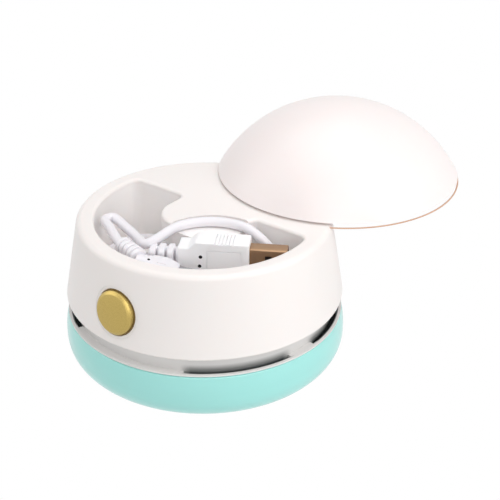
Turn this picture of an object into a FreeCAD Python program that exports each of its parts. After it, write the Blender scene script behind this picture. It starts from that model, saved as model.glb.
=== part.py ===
import FreeCAD, Part
import math
import os
import Sketcher

# Desktop mini vacuum cleaner. Millimetres, +Z up, origin on the floor under the body's axis.
# The front with the power button faces -Y, the lid's pivot is at the back, towards +Y.

DIMENSIONS = {
    # Teal bowl
    "base_radius": 44.0,
    "belly_drop": 4.1,
    "bowl_rim_inset": 0.8,
    "bowl_rim_height": 17.1,
    "bowl_lift": 0.6,
    "bowl_corner": 9.0,
    "bowl_wall": 1.8,
    "bowl_floor": 1.6,
    "bowl_seat_inset": 2.1,
    "bowl_rim_round": 0.5,
    "bowl_belly_round": 14.0,
    # Foot ring, nozzle and bristles under the bowl
    "foot_inset": 13.0,
    "foot_width": 3.0,
    "foot_recess": 0.6,
    "mouth_radius": 13.0,
    "nozzle_wall": 2.0,
    "nozzle_height": 7.5,
    "nozzle_flange": 3.0,
    "nozzle_flange_thick": 1.2,
    "notch_width": 5.0,
    "notch_height": 1.0,
    "brush_gap": 1.4,
    "brush_width": 2.0,
    "brush_clear": 0.2,
    "brush_gap_angle": 16.0,
    # Lower housing: lip, ledge with windows, wall and plate
    "lip_gap": 0.2,
    "lip_inset": 0.9,
    "lip_width": 1.1,
    "lip_height": 0.5,
    "ledge_drop": 0.3,
    "ledge_thick": 1.2,
    "neck_inset": 3.8,
    "neck_wall": 1.2,
    "skirt_gap": 0.3,
    "skirt_wall": 1.0,
    "window_margin": 0.1,
    "front_angle": -90.0,
    "front_tab_angle": 29.5,
    "window_angle": 46.2,
    "side_tab_angle": 13.6,
    "plate_thick": 1.6,
    "plate_rise": 0.3,
    "fit_gap": 0.1,
    # Fan shroud and filter
    "shroud_top": 12.8,
    "shroud_thick": 1.2,
    "eye_radius": 12.0,
    "post_inset": 11.0,
    "post_radius": 2.2,
    "first_post_angle": 30.0,
    "screw_radius": 0.95,
    "screw_head_radius": 1.8,
    "screw_head_height": 1.2,
    "screw_bite": 6.0,
    "foam_height": 2.2,
    "filter_gap": 2.0,
    "filter_rim": 2.8,
    "filter_height": 2.8,
    "filter_bar": 1.6,
    "filter_bar_height": 1.0,
    "mesh_thick": 0.4,
    # Impeller and motor
    "impeller_clear": 2.8,
    "impeller_plate": 1.2,
    "impeller_gap": 1.2,
    "blade_height": 6.4,
    "blade_thick": 1.2,
    "blade_start": 9.0,
    "blade_sweep": 35.0,
    "hub_radius": 4.2,
    "shaft_radius": 1.0,
    "running_gap": 0.05,
    "motor_radius": 9.0,
    "motor_height": 16.0,
    "motor_wall": 0.8,
    "motor_base": 1.0,
    "motor_nose_radius": 3.1,
    "motor_cap_height": 1.8,
    "motor_screw_ring": 5.6,
    "motor_screw_radius": 0.8,
    "motor_screw_head": 1.5,
    "motor_screw_sink": 1.0,
    "magnet_thick": 0.7,
    "magnet_angle": 120.0,
    "magnet_start": 30.0,
    "air_gap": 0.4,
    "armature_height": 13.0,
    "terminal_width": 2.0,
    "terminal_thick": 0.5,
    "terminal_height": 1.2,
    "terminal_reach": 5.0,
    "terminal_spread": 3.0,
    # Body shell
    "body_bottom": 22.7,
    "body_inset": 0.6,
    "body_height": 25.4,
    "wall_slope": 9.83,
    "shell_wall": 1.8,
    "land_thick": 1.8,
    "land_round": 1.8,
    "skirt_round": 0.7,
    "pillar_inset": 6.5,
    "pillar_radius": 2.1,
    "first_pillar_angle": 45.0,
    # Storage pocket
    "land_width": 5.2,
    "pocket_depth": 20.0,
    "pocket_wall": 1.6,
    "pocket_back": 6.8,
    "pocket_corner": 3.0,
    "pocket_round": 1.0,
    "boss_half_width": 13.4,
    "boss_front": 10.7,
    "boss_corner": 9.5,
    "boss_roof": 4.2,
    "rebate_x": 13.2,
    "rebate_y": -13.3,
    "rebate_radius": 17.75,
    "rebate_depth": 2.6,
    "rebate_start": 60.0,
    "rebate_sweep": 130.0,
    # Power button and its switch
    "button_height": 33.0,
    "button_radius": 7.25,
    "button_gap": 0.3,
    "button_proud": 1.4,
    "button_round": 0.9,
    "bezel_width": 0.45,
    "bezel_inset": 0.2,
    "button_flange": 0.45,
    "button_flange_thick": 0.6,
    "button_back_gap": 0.2,
    "switch_width": 6.0,
    "switch_thick": 1.4,
    "switch_board_width": 9.0,
    "switch_board_height": 8.0,
    "switch_board_thick": 0.8,
    "switch_front": 3.35,
    "plunger_radius": 1.2,
    "plunger_gap": 0.15,
    "plunger_insert": 0.3,
    "switch_well": 1.15,
    # Lid and pivot
    "lid_gap": 0.8,
    "lid_overhang": 0.1,
    "lid_rise": 22.6,
    "lid_wall": 1.6,
    "lid_angle": 145.6,
    "lid_travel": 180.0,
    "pivot_inset": 11.3,
    "pivot_boss_radius": 4.5,
    "pivot_boss_height": 8.1,
    "pivot_radius": 2.0,
    "bush_wall": 1.0,
    "washer_thick": 0.4,
    "washer_width": 2.5,
    "hub_clear": 0.3,
    "lid_hub_radius": 4.8,
    "lid_disc_radius": 8.0,
    "lid_disc_thick": 1.5,
    "screw_bite_lid": 5.4,
    "pivot_head_radius": 3.6,
    "pivot_head_height": 1.6,
    "pivot_head_gap": 0.1,
    "stop_ring": 6.4,
    "stop_radius": 0.9,
    "stop_length": 1.3,
    "stop_gap": 0.3,
    # Battery
    "cell_radius": 7.0,
    "cell_length": 50.0,
    "cell_gap": 0.5,
    "cell_lift": 2.0,
    "cradle_spacing": 18.0,
    "cradle_width": 4.0,
    "cradle_depth": 13.0,
    "cradle_height": 7.6,
    "tab_thick": 0.3,
    "tab_width": 5.0,
    # Control board and charging socket
    "board_width": 24.0,
    "board_inset": 3.1,
    "board_depth": 12.6,
    "board_thick": 1.2,
    "board_lift": 2.4,
    "peg_radius": 1.5,
    "peg_spacing": 9.0,
    "peg_place": 5.5,
    "socket_width": 7.8,
    "socket_height": 2.8,
    "socket_length": 7.4,
    "socket_inset": 1.25,
    "socket_wall": 0.4,
    "socket_depth": 4.5,
    "socket_clear": 0.4,
    "chip_width": 5.0,
    "chip_depth": 4.0,
    "chip_height": 1.0,
    "chip_place": 6.0,
    # Lead, USB plug and device plug in the pocket
    "cord_diameter": 3.0,
    "lead_diameter": 1.0,
    "plug_heading": 30.0,
    "plug_distance": 16.45,
    "plug_rise": 0.5,
    "plug_width": 15.5,
    "plug_thick": 7.2,
    "plug_start": -5.6,
    "neck_length": 3.9,
    "neck_width": 11.4,
    "shoulder_length": 2.3,
    "plug_length": 21.5,
    "plug_round": 0.9,
    "groove_pitch": 1.05,
    "groove_width": 0.4,
    "groove_depth": 0.35,
    "groove_place": 5.9,
    "panel_start": 3.5,
    "panel_length": 10.3,
    "panel_width": 11.0,
    "panel_line": 0.35,
    "panel_depth": 0.25,
    "usb_shell_length": 11.4,
    "usb_shell_width": 12.0,
    "usb_shell_thick": 4.5,
    "usb_shell_sheet": 0.35,
    "usb_hole": 2.2,
    "usb_hole_place": 6.4,
    "usb_hole_spread": 2.6,
    "tongue_thick": 1.9,
    "tongue_inset": 0.5,
    "relief_length": 7.3,
    "relief_radius": 3.7,
    "relief_core": 2.6,
    "relief_ring": 1.25,
    "relief_taper": 0.1,
    "device_x": -6.6,
    "device_y": -28.3,
    "device_z": 45.6,
    "device_heading": 9.0,
    "device_dip": 13.0,
    "device_relief_length": 7.0,
    "device_relief_radius": 2.8,
    "device_relief_core": 2.05,
    "device_length": 10.0,
    "device_width": 7.8,
    "device_thick": 4.4,
    "device_round": 1.3,
    "tip_length": 5.0,
    "tip_width": 6.9,
    "tip_thick": 1.8,
    "tip_round": 0.45,
    "overrun": 1.0,
}

BLADES = 9
POSTS = 3
PILLARS = 4
PLUG_GROOVES = 6
RELIEF_RINGS = 4

# The charging lead's route, from the USB plug's relief along the pocket's front wall, round the left
# lobe, back along the floor, up the right lobe, along the rebate of the boss, down in front of
# it, and through the small fold at the left into the device plug's relief.
CORD_ROUTE = [
    (-2.95, -20.7, 40.85),
    (-6.6, -22.8, 40.85),
    (-12.2, -25.6, 40.0),
    (-18.8, -23.6, 37.2),
    (-25.2, -17.0, 33.6),
    (-29.2, -8.0, 30.9),
    (-29.3, 0.6, 29.9),
    (-24.2, 5.2, 29.7),
    (-18.4, 3.6, 29.7),
    (-16.2, -4.0, 29.7),
    (-16.6, -13.5, 29.7),
    (-12.6, -22.6, 29.7),
    (-4.5, -28.0, 29.7),
    (6.5, -29.2, 29.7),
    (16.8, -24.6, 29.7),
    (24.6, -17.0, 29.8),
    (30.0, -6.0, 30.6),
    (28.8, 2.6, 33.8),
    (25.0, 4.8, 38.8),
    (20.6, 3.2, 44.4),
    (14.89, 2.81, 47.15),
    (8.73, 2.27, 47.15),
    (3.23, -0.53, 47.15),
    (-0.83, -5.2, 47.15),
    (-2.82, -10.91, 47.1),
    (-4.4, -17.4, 45.2),
    (-8.0, -20.2, 43.9),
    (-15.0, -16.4, 43.8),
    (-22.4, -12.6, 43.9),
    (-28.3, -11.3, 44.1),
    (-27.8, -16.8, 44.8),
    (-19.0, -23.7, 45.9),
    (-10.64, -28.94, 46.55),
    (-6.6, -28.3, 45.6),
]

# Thin leads inside the body, for the side towards +X. Each bundle has its mirror image too. The
# motor's leads count from the body's axis and the control board's front edge, the battery's from the
# cell's end and the board, and the switch's from the wall behind the button and the board.
MOTOR_START = [(3.0, 6.1, 43.0), (5.0, 9.5, 43.1), (8.5, 17.0, 43.4)]
MOTOR_END = [(10.0, -1.0, 39.5), (8.5, 2.0, 34.0), (6.5, 2.0, 28.8)]
BATTERY_START = [(1.0, 17.6, 32.6), (1.4, 21.6, 29.2)]
BATTERY_END = [(22.4, -1.0, 28.0), (16.0, 0.9, 29.0), (10.6, 2.7, 28.8)]
SWITCH_START = [(2.5, 4.72, 27.9), (2.8, 5.02, 26.4), (5.5, 8.62, 25.4)]
SWITCH_MIDDLE = [(11.0, -22.0, 25.4), (14.5, -8.0, 25.4), (18.0, 2.0, 25.4), (22.6, 9.5, 25.4)]
SWITCH_END = [(22.9, -7.5, 25.4), (21.0, -0.3, 25.4), (15.8, 1.9, 25.6), (11.0, 2.1, 26.45)]

doc = FreeCAD.newDocument("desk_vacuum")
sheet = doc.addObject("Spreadsheet::Sheet", "Dims")
for row, (word, value) in enumerate(DIMENSIONS.items(), start=1):
    sheet.set(f"A{row}", word)
    sheet.set(f"B{row}", str(value))
    sheet.setAlias(f"B{row}", word)
doc.recompute()


class Size:
    """A size with its value now and the spreadsheet expression that it comes from."""

    def __init__(self, value, text):
        self.value = value
        self.text = text

    def join(self, other, sign, result):
        return Size(result, f"({self.text} {sign} {as_size(other).text})")

    def __add__(self, other):
        return self.join(other, "+", self.value + as_size(other).value)

    def __sub__(self, other):
        return self.join(other, "-", self.value - as_size(other).value)

    def __mul__(self, other):
        return self.join(other, "*", self.value * as_size(other).value)

    def __truediv__(self, other):
        return self.join(other, "/", self.value / as_size(other).value)

    def __neg__(self):
        return Size(-self.value, f"(0 - {self.text})")


def as_size(thing):
    if isinstance(thing, Size):
        return thing
    return Size(float(thing), repr(float(thing)))


class Sheet:
    """Reads the driving dimensions from the spreadsheet by their aliases."""

    def __getattr__(self, word):
        return Size(float(sheet.get(word)), f"Dims.{word}")


d = Sheet()
ZERO = as_size(0)
X_AXIS = FreeCAD.Vector(1, 0, 0)
Y_AXIS = FreeCAD.Vector(0, 1, 0)
Z_AXIS = FreeCAD.Vector(0, 0, 1)
FULL_TURN = as_size(360)
HALF_TURN = FULL_TURN / 2
QUARTER_TURN = FULL_TURN / 4
DEGREES = math.degrees(1)
SAME = 1e-4
ARC_SHARE = 0.45


def sine(angle):
    return Size(math.sin(math.radians(angle.value)), f"sin({angle.text})")


def cosine(angle):
    return Size(math.cos(math.radians(angle.value)), f"cos({angle.text})")


def tangent(angle):
    return Size(math.tan(math.radians(angle.value)), f"tan({angle.text})")


def bind(obj, **sizes):
    """Set properties of an object to sizes and bind them to the sheet."""
    for name, size in sizes.items():
        size = as_size(size)
        setattr(obj, name, size.value)
        obj.setExpression(name, size.text)


def place(obj, at=(0, 0, 0), turn=None):
    """Put an object at a point, turned by an angle about an axis."""
    at = [as_size(value) for value in at]
    rotation = FreeCAD.Rotation()
    if turn:
        rotation = FreeCAD.Rotation(turn[0], as_size(turn[1]).value)
    base = FreeCAD.Vector(*[value.value for value in at])
    obj.Placement = FreeCAD.Placement(base, rotation)
    for letter, value in zip("xyz", at):
        obj.setExpression(f"Placement.Base.{letter}", value.text)
    if turn:
        obj.setExpression("Placement.Rotation.Angle", as_size(turn[1]).text)
    return obj


def cylinder(name, radius, height, at=(0, 0, 0), turn=None, angle=None):
    obj = doc.addObject("Part::Cylinder", name)
    bind(obj, Radius=radius, Height=height)
    if angle is not None:
        bind(obj, Angle=angle)
    return place(obj, at, turn)


def cone(name, radius_low, radius_high, height, at=(0, 0, 0), turn=None):
    obj = doc.addObject("Part::Cone", name)
    bind(obj, Radius1=radius_low, Radius2=radius_high, Height=height)
    return place(obj, at, turn)


def sphere(name, radius, at):
    obj = doc.addObject("Part::Sphere", name)
    bind(obj, Radius=radius)
    return place(obj, at)


def box(name, length, width, height, at=(0, 0, 0), turn=None):
    obj = doc.addObject("Part::Box", name)
    bind(obj, Length=length, Width=width, Height=height)
    return place(obj, at, turn)


def fuse(name, pieces):
    obj = doc.addObject("Part::MultiFuse", name)
    obj.Shapes = pieces
    return obj


def cut(name, base, tools):
    tool = tools[0] if len(tools) == 1 else fuse(f"{name}_tools", tools)
    obj = doc.addObject("Part::Cut", name)
    obj.Base = base
    obj.Tool = tool
    return obj


def common(name, first, second):
    obj = doc.addObject("Part::Common", name)
    obj.Base = first
    obj.Tool = second
    return obj


def ring(name, inner, outer, height, at=(0, 0, 0), turn=None):
    """A flat ring or tube."""
    return cut(name, cylinder(f"{name}_outer", outer, height, at, turn),
               [cylinder(f"{name}_inner", inner, height, at, turn)])


def sector(name, inner, outer, height, level, start, sweep):
    """Part of a ring about the body's axis, from an angle counted from +X."""
    turn = (Z_AXIS, start)
    at = (0, 0, level)
    return cut(name, cylinder(f"{name}_outer", outer, height, at, turn, sweep),
               [cylinder(f"{name}_inner", inner, height, at)])


def polar(ring_radius, angle):
    """A place on a circle about the body's axis."""
    return ring_radius * cosine(angle), ring_radius * sine(angle)


def rounded(name, base, radius, chosen):
    """Round the edges of a finished solid that a test picks."""
    doc.recompute()
    obj = doc.addObject("Part::Fillet", name)
    obj.Base = base
    obj.Edges = [(number, radius.value, radius.value)
                 for number, edge in enumerate(base.Shape.Edges, start=1) if chosen(edge)]
    doc.recompute()
    return obj


def middle(edge):
    return edge.valueAt((edge.FirstParameter + edge.LastParameter) / 2)


def is_level(edge, height):
    points = [vertex.Point for vertex in edge.Vertexes] + [middle(edge)]
    return all(abs(point.z - height.value) < SAME for point in points)


def outlined(name, plane, points):
    """A body with a closed outline of straight sides on one of its own origin planes."""
    body = doc.addObject("PartDesign::Body", name)
    planes = {feature.Role: feature for feature in body.Origin.OriginFeatures}
    sketch = body.newObject("Sketcher::SketchObject", f"{name}_sketch")
    sketch.AttachmentSupport = [(planes[plane], "")]
    sketch.MapMode = "FlatFace"
    corners = [(as_size(x), as_size(y)) for x, y in points]
    vectors = [FreeCAD.Vector(x.value, y.value, 0) for x, y in corners]
    count = len(corners)
    for index in range(count):
        sketch.addGeometry(Part.LineSegment(vectors[index], vectors[(index + 1) % count]))
    for index in range(count):
        sketch.addConstraint(Sketcher.Constraint("Coincident", index, 2, (index + 1) % count, 1))
    for index, corner in enumerate(corners):
        for kind, size in zip(("DistanceX", "DistanceY"), corner):
            rule = Sketcher.Constraint(kind, -1, 1, index, 1, size.value)
            number = sketch.addConstraint(rule)
            label = f"{kind}{index}"
            sketch.renameConstraint(number, label)
            sketch.setExpression(f"Constraints.{label}", size.text)
    return body, sketch


def revolved(name, points):
    """A solid turned about Z from an outline of radii and heights."""
    body, sketch = outlined(name, "XZ_Plane", points)
    feature = body.newObject("PartDesign::Revolution", f"{name}_turn")
    feature.Profile = sketch
    feature.ReferenceAxis = (sketch, ["V_Axis"])
    feature.Angle = FULL_TURN.value
    return body


def padded(name, plane, points, length):
    """A solid of one outline, its thickness half to each side of the sketch."""
    body, sketch = outlined(name, plane, points)
    feature = body.newObject("PartDesign::Pad", f"{name}_pad")
    feature.Profile = sketch
    feature.Midplane = True
    bind(feature, Length=length)
    return body


def body_rounded(body, name, radius, chosen):
    """Round the edges of a body's last feature that a test picks."""
    doc.recompute()
    feature = body.newObject("PartDesign::Fillet", name)
    base = body.Group[-2]
    edges = [f"Edge{number}" for number, edge in enumerate(base.Shape.Edges, start=1)
             if chosen(edge)]
    feature.Base = (base, edges)
    bind(feature, Radius=radius)
    doc.recompute()
    return body


def near_ring(edge, radius, height):
    """True for the circle about Z with this radius and height."""
    point = middle(edge)
    reach = math.hypot(point.x, point.y)
    return is_level(edge, height) and abs(reach - radius.value) < SAME


def tube(route, diameter):
    """A tube of straight runs joined by tangent arcs, each as large as its two runs allow."""
    points = [FreeCAD.Vector(*point) for point in route]
    edges = []
    radii = []
    start = points[0]
    for before, corner, after in zip(points, points[1:], points[2:]):
        into = (corner - before).normalize()
        out = (after - corner).normalize()
        turn = into.getAngle(out)
        reach = ARC_SHARE * min((corner - before).Length, (after - corner).Length)
        radius = reach / math.tan(turn / 2)
        radii.append(radius)
        first = corner - into * reach
        last = corner + out * reach
        inward = (out - into).normalize()
        centre = corner + inward * (radius / math.cos(turn / 2))
        half = centre - inward * radius
        edges.append(Part.LineSegment(start, first).toShape())
        edges.append(Part.Arc(first, half, last).toShape())
        start = last
    edges.append(Part.LineSegment(start, points[-1]).toShape())
    wire = Part.Wire(edges)
    heading = points[1] - points[0]
    circle = Part.Circle(points[0], heading, diameter.value / 2).toShape()
    section = Part.Wire([circle])
    solid = wire.makePipeShell([section], True, True)
    if solid.Volume < 0:
        solid.reverse()
    wanted = math.pi * diameter.value ** 2 / 4 * wire.Length
    return solid, radii, wire.Length, solid.Volume / wanted


def cord(name, routes, diameter):
    """A node of one or more tubes, which prints its radii, length and volume share."""
    solids = []
    for route in routes:
        solid, radii, length, share = tube(route, diameter)
        solids.append(solid)
        tight = ", ".join(f"{radius:.1f}" for radius in radii)
        print(f"{name}: length {length:.1f}, volume share {share:.4f}, radii {tight}")
    obj = doc.addObject("Part::Feature", name)
    obj.Shape = solids[0] if len(solids) == 1 else Part.makeCompound(solids)
    return obj


def pair(start, middle_part, end, shift_x, shift_y):
    """Two mirrored routes. Their start is moved in x or y, their end lies from the board's front."""
    x, y = shift_x.value, shift_y.value
    route = [(point[0] + x, point[1] + y, point[2]) for point in start]
    route += middle_part
    route += [(point[0], point[1] + board_front.value, point[2]) for point in end]
    return [route, [(-point[0], point[1], point[2]) for point in route]]


# Heights and radii that more than one piece shares
body_top = d.body_bottom + d.body_height
slope_rate = tangent(d.wall_slope)
plate_bottom = d.body_bottom + d.plate_rise
plate_top = plate_bottom + d.plate_thick
lip_bottom = d.bowl_rim_height + d.lip_gap
lip_top = lip_bottom + d.lip_height
ledge_top = lip_top - d.ledge_drop
ledge_bottom = ledge_top - d.ledge_thick
body_radius = d.base_radius - d.body_inset
top_radius = body_radius - d.body_height * slope_rate
widest_height = d.bowl_rim_height - d.belly_drop
bowl_rim_radius = d.base_radius - d.bowl_rim_inset
bowl_seat_radius = d.base_radius - d.bowl_seat_inset
foot_radius = d.base_radius - d.foot_inset
lip_radius = d.base_radius - d.lip_inset
lip_inner = lip_radius - d.lip_width
neck_radius = d.base_radius - d.neck_inset
plate_radius = body_radius - d.shell_wall - (plate_top - d.body_bottom) * slope_rate - d.fit_gap
skirt_outer = bowl_seat_radius - d.skirt_gap
skirt_inner = skirt_outer - d.skirt_wall
neck_inner = neck_radius - d.neck_wall
nozzle_outer = d.mouth_radius + d.nozzle_wall
filter_radius = skirt_inner - d.filter_gap
post_ring = d.base_radius - d.post_inset
impeller_radius = post_ring - d.post_radius - d.impeller_clear
pillar_ring = body_radius - d.pillar_inset
pivot_reach = top_radius - d.pivot_inset
pocket_radius = top_radius - d.land_width
lid_radius = top_radius + d.lid_overhang
shroud_bottom = d.shroud_top - d.shroud_thick
land_bottom = body_top - d.land_thick
pocket_floor = body_top - d.pocket_depth
motor_top = plate_top + d.motor_height
board_top = plate_top + d.board_lift + d.board_thick
socket_back = body_radius - (board_top - d.body_bottom) * slope_rate - d.socket_inset
board_front = socket_back - d.board_inset - d.board_depth
cell_level = plate_top + d.cell_lift + d.cell_radius
cell_offset = d.motor_radius + d.cell_gap + d.cell_radius
pillar_angles = [d.first_pillar_angle + FULL_TURN / PILLARS * number for number in range(PILLARS)]
post_angles = [d.first_post_angle + FULL_TURN / POSTS * number for number in range(POSTS)]


def make_base_bowl():
    inner_floor = d.bowl_lift + d.bowl_floor
    bowl = revolved("bowl_form", [
        (nozzle_outer, d.bowl_lift), (d.base_radius, d.bowl_lift), (d.base_radius, widest_height),
        (bowl_rim_radius, d.bowl_rim_height), (bowl_seat_radius, d.bowl_rim_height),
        (bowl_seat_radius, inner_floor), (nozzle_outer, inner_floor)])
    body_rounded(bowl, "bowl_corner_round", d.bowl_corner,
                 lambda edge: near_ring(edge, d.base_radius, d.bowl_lift))
    body_rounded(bowl, "bowl_inner_round", d.bowl_corner - d.bowl_wall,
                 lambda edge: near_ring(edge, bowl_seat_radius, inner_floor))
    body_rounded(bowl, "bowl_belly_smooth", d.bowl_belly_round,
                 lambda edge: near_ring(edge, d.base_radius, widest_height))
    body_rounded(bowl, "bowl_rim_smooth", d.bowl_rim_round,
                 lambda edge: near_ring(edge, bowl_rim_radius, d.bowl_rim_height))
    foot_half = d.foot_width / 2
    foot_groove = ring("foot_groove", foot_radius - foot_half, foot_radius + foot_half,
                       d.foot_recess, (0, 0, d.bowl_lift))
    return cut("base_bowl", bowl, [foot_groove])


def make_foot_ring():
    foot_half = d.foot_width / 2
    return ring("foot_ring", foot_radius - foot_half, foot_radius + foot_half,
                d.bowl_lift + d.foot_recess)


def make_nozzle_ring():
    tube_part = ring("nozzle_tube", d.mouth_radius, nozzle_outer, d.nozzle_height)
    flange = ring("nozzle_lip", d.mouth_radius, nozzle_outer + d.nozzle_flange,
                  d.nozzle_flange_thick, (0, 0, d.bowl_lift + d.bowl_floor))
    whole = fuse("nozzle_form", [tube_part, flange])
    reach = nozzle_outer + d.overrun
    notches = [
        box("notch_across", reach * 2, d.notch_width, d.notch_height,
            (-reach, -d.notch_width / 2, 0)),
        box("notch_along", d.notch_width, reach * 2, d.notch_height,
            (-d.notch_width / 2, -reach, 0)),
    ]
    return cut("nozzle_ring", whole, notches)


def make_brush_ring():
    inner = nozzle_outer + d.brush_gap
    height = d.bowl_lift - d.brush_clear
    arcs = []
    sweep = QUARTER_TURN - d.brush_gap_angle
    for number in range(4):
        start = d.brush_gap_angle / 2 + QUARTER_TURN * number
        arcs.append(sector(f"brush_arc{number}", inner, inner + d.brush_width, height,
                           d.brush_clear, start, sweep))
    return fuse("brush_ring", arcs)


def window_arcs(name, inner, outer, height, level):
    """The four air windows: two each side of the front tab, mirrored left and right."""
    first = d.front_angle + d.front_tab_angle
    second = first + d.window_angle + d.side_tab_angle
    arcs = []
    for number, start in enumerate((first, second)):
        arcs.append(sector(f"{name}_right{number}", inner, outer, height, level, start,
                           d.window_angle))
        mirrored = -HALF_TURN - start - d.window_angle
        arcs.append(sector(f"{name}_left{number}", inner, outer, height, level, mirrored,
                           d.window_angle))
    return arcs


def make_lower_housing():
    form = revolved("housing_form", [
        (d.motor_nose_radius + d.fit_gap, plate_bottom), (neck_inner, plate_bottom),
        (neck_inner, ledge_bottom), (skirt_inner, ledge_bottom), (skirt_inner, d.shroud_top),
        (skirt_outer, d.shroud_top), (skirt_outer, lip_bottom), (lip_radius, lip_bottom),
        (lip_radius, lip_top), (lip_inner, lip_top), (lip_inner, ledge_top),
        (neck_radius, ledge_top), (neck_radius, plate_bottom), (plate_radius, plate_bottom),
        (plate_radius, plate_top), (d.motor_nose_radius + d.fit_gap, plate_top)])
    pegs = [cylinder(f"board_peg{side}", d.peg_radius, d.board_lift + d.fit_gap,
                     (d.peg_spacing * side, board_front + d.peg_place, plate_top - d.fit_gap))
            for side in (-1, 1)]
    whole = fuse("housing_whole", [form] + pegs)
    tools = window_arcs("window", neck_radius + d.window_margin, lip_inner - d.window_margin,
                        lip_top - d.shroud_top + d.overrun, d.shroud_top)
    for number, angle in enumerate(pillar_angles):
        x, y = polar(pillar_ring, angle)
        tools.append(cylinder(f"pillar_hole{number}", d.screw_radius + d.fit_gap,
                              d.plate_thick + d.overrun, (x, y, plate_bottom - d.overrun / 2)))
    for side in (-1, 1):
        at_x = d.motor_screw_ring * side
        tools.append(cylinder(f"motor_hole{side}", d.motor_screw_radius + d.fit_gap,
                              d.plate_thick + d.overrun, (at_x, 0, plate_bottom - d.overrun / 2)))
        tools.append(cylinder(f"motor_sink{side}", d.motor_screw_head + d.fit_gap,
                              d.motor_screw_sink + d.overrun,
                              (at_x, 0, plate_bottom - d.overrun)))
    for number, angle in enumerate(post_angles):
        x, y = polar(post_ring, angle)
        tools.append(cylinder(f"post_hole{number}", d.screw_radius, d.plate_thick + d.overrun,
                              (x, y, plate_bottom - d.overrun / 2)))
    return cut("lower_housing", whole, tools)


def make_fan_shroud():
    disc = ring("shroud_disc", d.eye_radius, skirt_outer - d.fit_gap, d.shroud_thick,
                (0, 0, shroud_bottom))
    posts = []
    bores = []
    for number, angle in enumerate(post_angles):
        x, y = polar(post_ring, angle)
        posts.append(cylinder(f"post{number}", d.post_radius, plate_bottom - shroud_bottom,
                              (x, y, shroud_bottom)))
        bores.append(cylinder(f"post_bore{number}", d.screw_radius + d.fit_gap,
                              plate_bottom - shroud_bottom + d.overrun,
                              (x, y, shroud_bottom - d.overrun / 2)))
    return cut("fan_shroud", fuse("shroud_form", [disc] + posts), bores)


def make_screws(name, places, head_level, length):
    """Pan-head screws that point up, as one group of separate solids."""
    solids = []
    for number, (x, y) in enumerate(places):
        head = cylinder(f"{name}_head{number}", d.screw_head_radius, d.screw_head_height,
                        (x, y, head_level - d.screw_head_height))
        shank = cylinder(f"{name}_shank{number}", d.screw_radius, length + d.fit_gap,
                         (x, y, head_level - d.fit_gap))
        slot = box(f"{name}_slot{number}", d.screw_head_radius * 2, d.screw_radius / 2,
                   d.screw_head_height / 2,
                   (x - d.screw_head_radius, y - d.screw_radius / 4,
                    head_level - d.screw_head_height))
        solids.append(cut(f"{name}_{number}", fuse(f"{name}_form{number}", [head, shank]), [slot]))
    return fuse(name, solids)


def make_exhaust_filter():
    arcs = window_arcs("foam", neck_inner + d.window_margin, skirt_outer - d.window_margin,
                       d.foam_height, d.shroud_top)
    return fuse("exhaust_filter", arcs)


def make_filter_frame():
    level = shroud_bottom - d.filter_height
    inner = filter_radius - d.filter_rim
    rim = ring("filter_rim_ring", inner, filter_radius, d.filter_height, (0, 0, level))
    length = inner * 2 + d.filter_rim
    bars = [
        box("filter_bar_x", length, d.filter_bar, d.filter_bar_height,
            (-length / 2, -d.filter_bar / 2, level)),
        box("filter_bar_y", d.filter_bar, length, d.filter_bar_height,
            (-d.filter_bar / 2, -length / 2, level)),
    ]
    return fuse("filter_frame", [rim] + bars)


def make_filter_mesh():
    level = shroud_bottom - d.filter_height + d.filter_bar_height
    return cylinder("filter_mesh", filter_radius - d.filter_rim, d.mesh_thick, (0, 0, level))


def make_impeller():
    top = plate_bottom - d.impeller_gap
    plate_level = top - d.impeller_plate
    low = plate_level - d.blade_height
    pieces = [cylinder("impeller_back", impeller_radius, d.impeller_plate, (0, 0, plate_level)),
              cylinder("impeller_hub", d.hub_radius, top - low, (0, 0, low))]
    for number in range(BLADES):
        angle = FULL_TURN / BLADES * number
        x, y = polar(d.blade_start, angle)
        pieces.append(box(f"blade{number}", impeller_radius - d.blade_start, d.blade_thick,
                          d.blade_height + d.fit_gap, (x, y, low),
                          (Z_AXIS, angle + d.blade_sweep)))
    bore = cylinder("impeller_bore", d.shaft_radius, top - low + d.overrun, (0, 0, low - d.overrun / 2))
    return cut("impeller", fuse("impeller_form", pieces), [bore])


def make_motor_shaft():
    low = plate_bottom - d.impeller_gap - d.impeller_plate - d.blade_height
    top = motor_top + d.motor_cap_height
    return cylinder("motor_shaft", d.shaft_radius, top - low, (0, 0, low))


def make_motor_armature():
    level = plate_top + (d.motor_height - d.armature_height) / 2
    radius = d.motor_radius - d.motor_wall - d.magnet_thick - d.air_gap
    form = cylinder("armature_form", radius, d.armature_height, (0, 0, level))
    bore = cylinder("armature_bore", d.shaft_radius, d.armature_height + d.overrun,
                    (0, 0, level - d.overrun / 2))
    return cut("motor_armature", form, [bore])


def make_motor_can():
    form = fuse("can_form", [
        cylinder("can_wall", d.motor_radius, d.motor_height, (0, 0, plate_top)),
        cylinder("can_nose", d.motor_nose_radius, d.plate_thick + d.fit_gap,
                 (0, 0, plate_bottom))])
    tools = [cylinder("can_hollow", d.motor_radius - d.motor_wall, d.motor_height,
                      (0, 0, plate_top + d.motor_base)),
             cylinder("can_bore", d.shaft_radius + d.running_gap,
                      d.plate_thick + d.motor_base + d.overrun,
                      (0, 0, plate_bottom - d.overrun / 2))]
    for side in (-1, 1):
        tools.append(cylinder(f"can_screw_hole{side}", d.motor_screw_radius + d.running_gap,
                              d.motor_base + d.overrun,
                              (d.motor_screw_ring * side, 0, plate_top - d.overrun / 2)))
    return cut("motor_can", form, tools)


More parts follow.
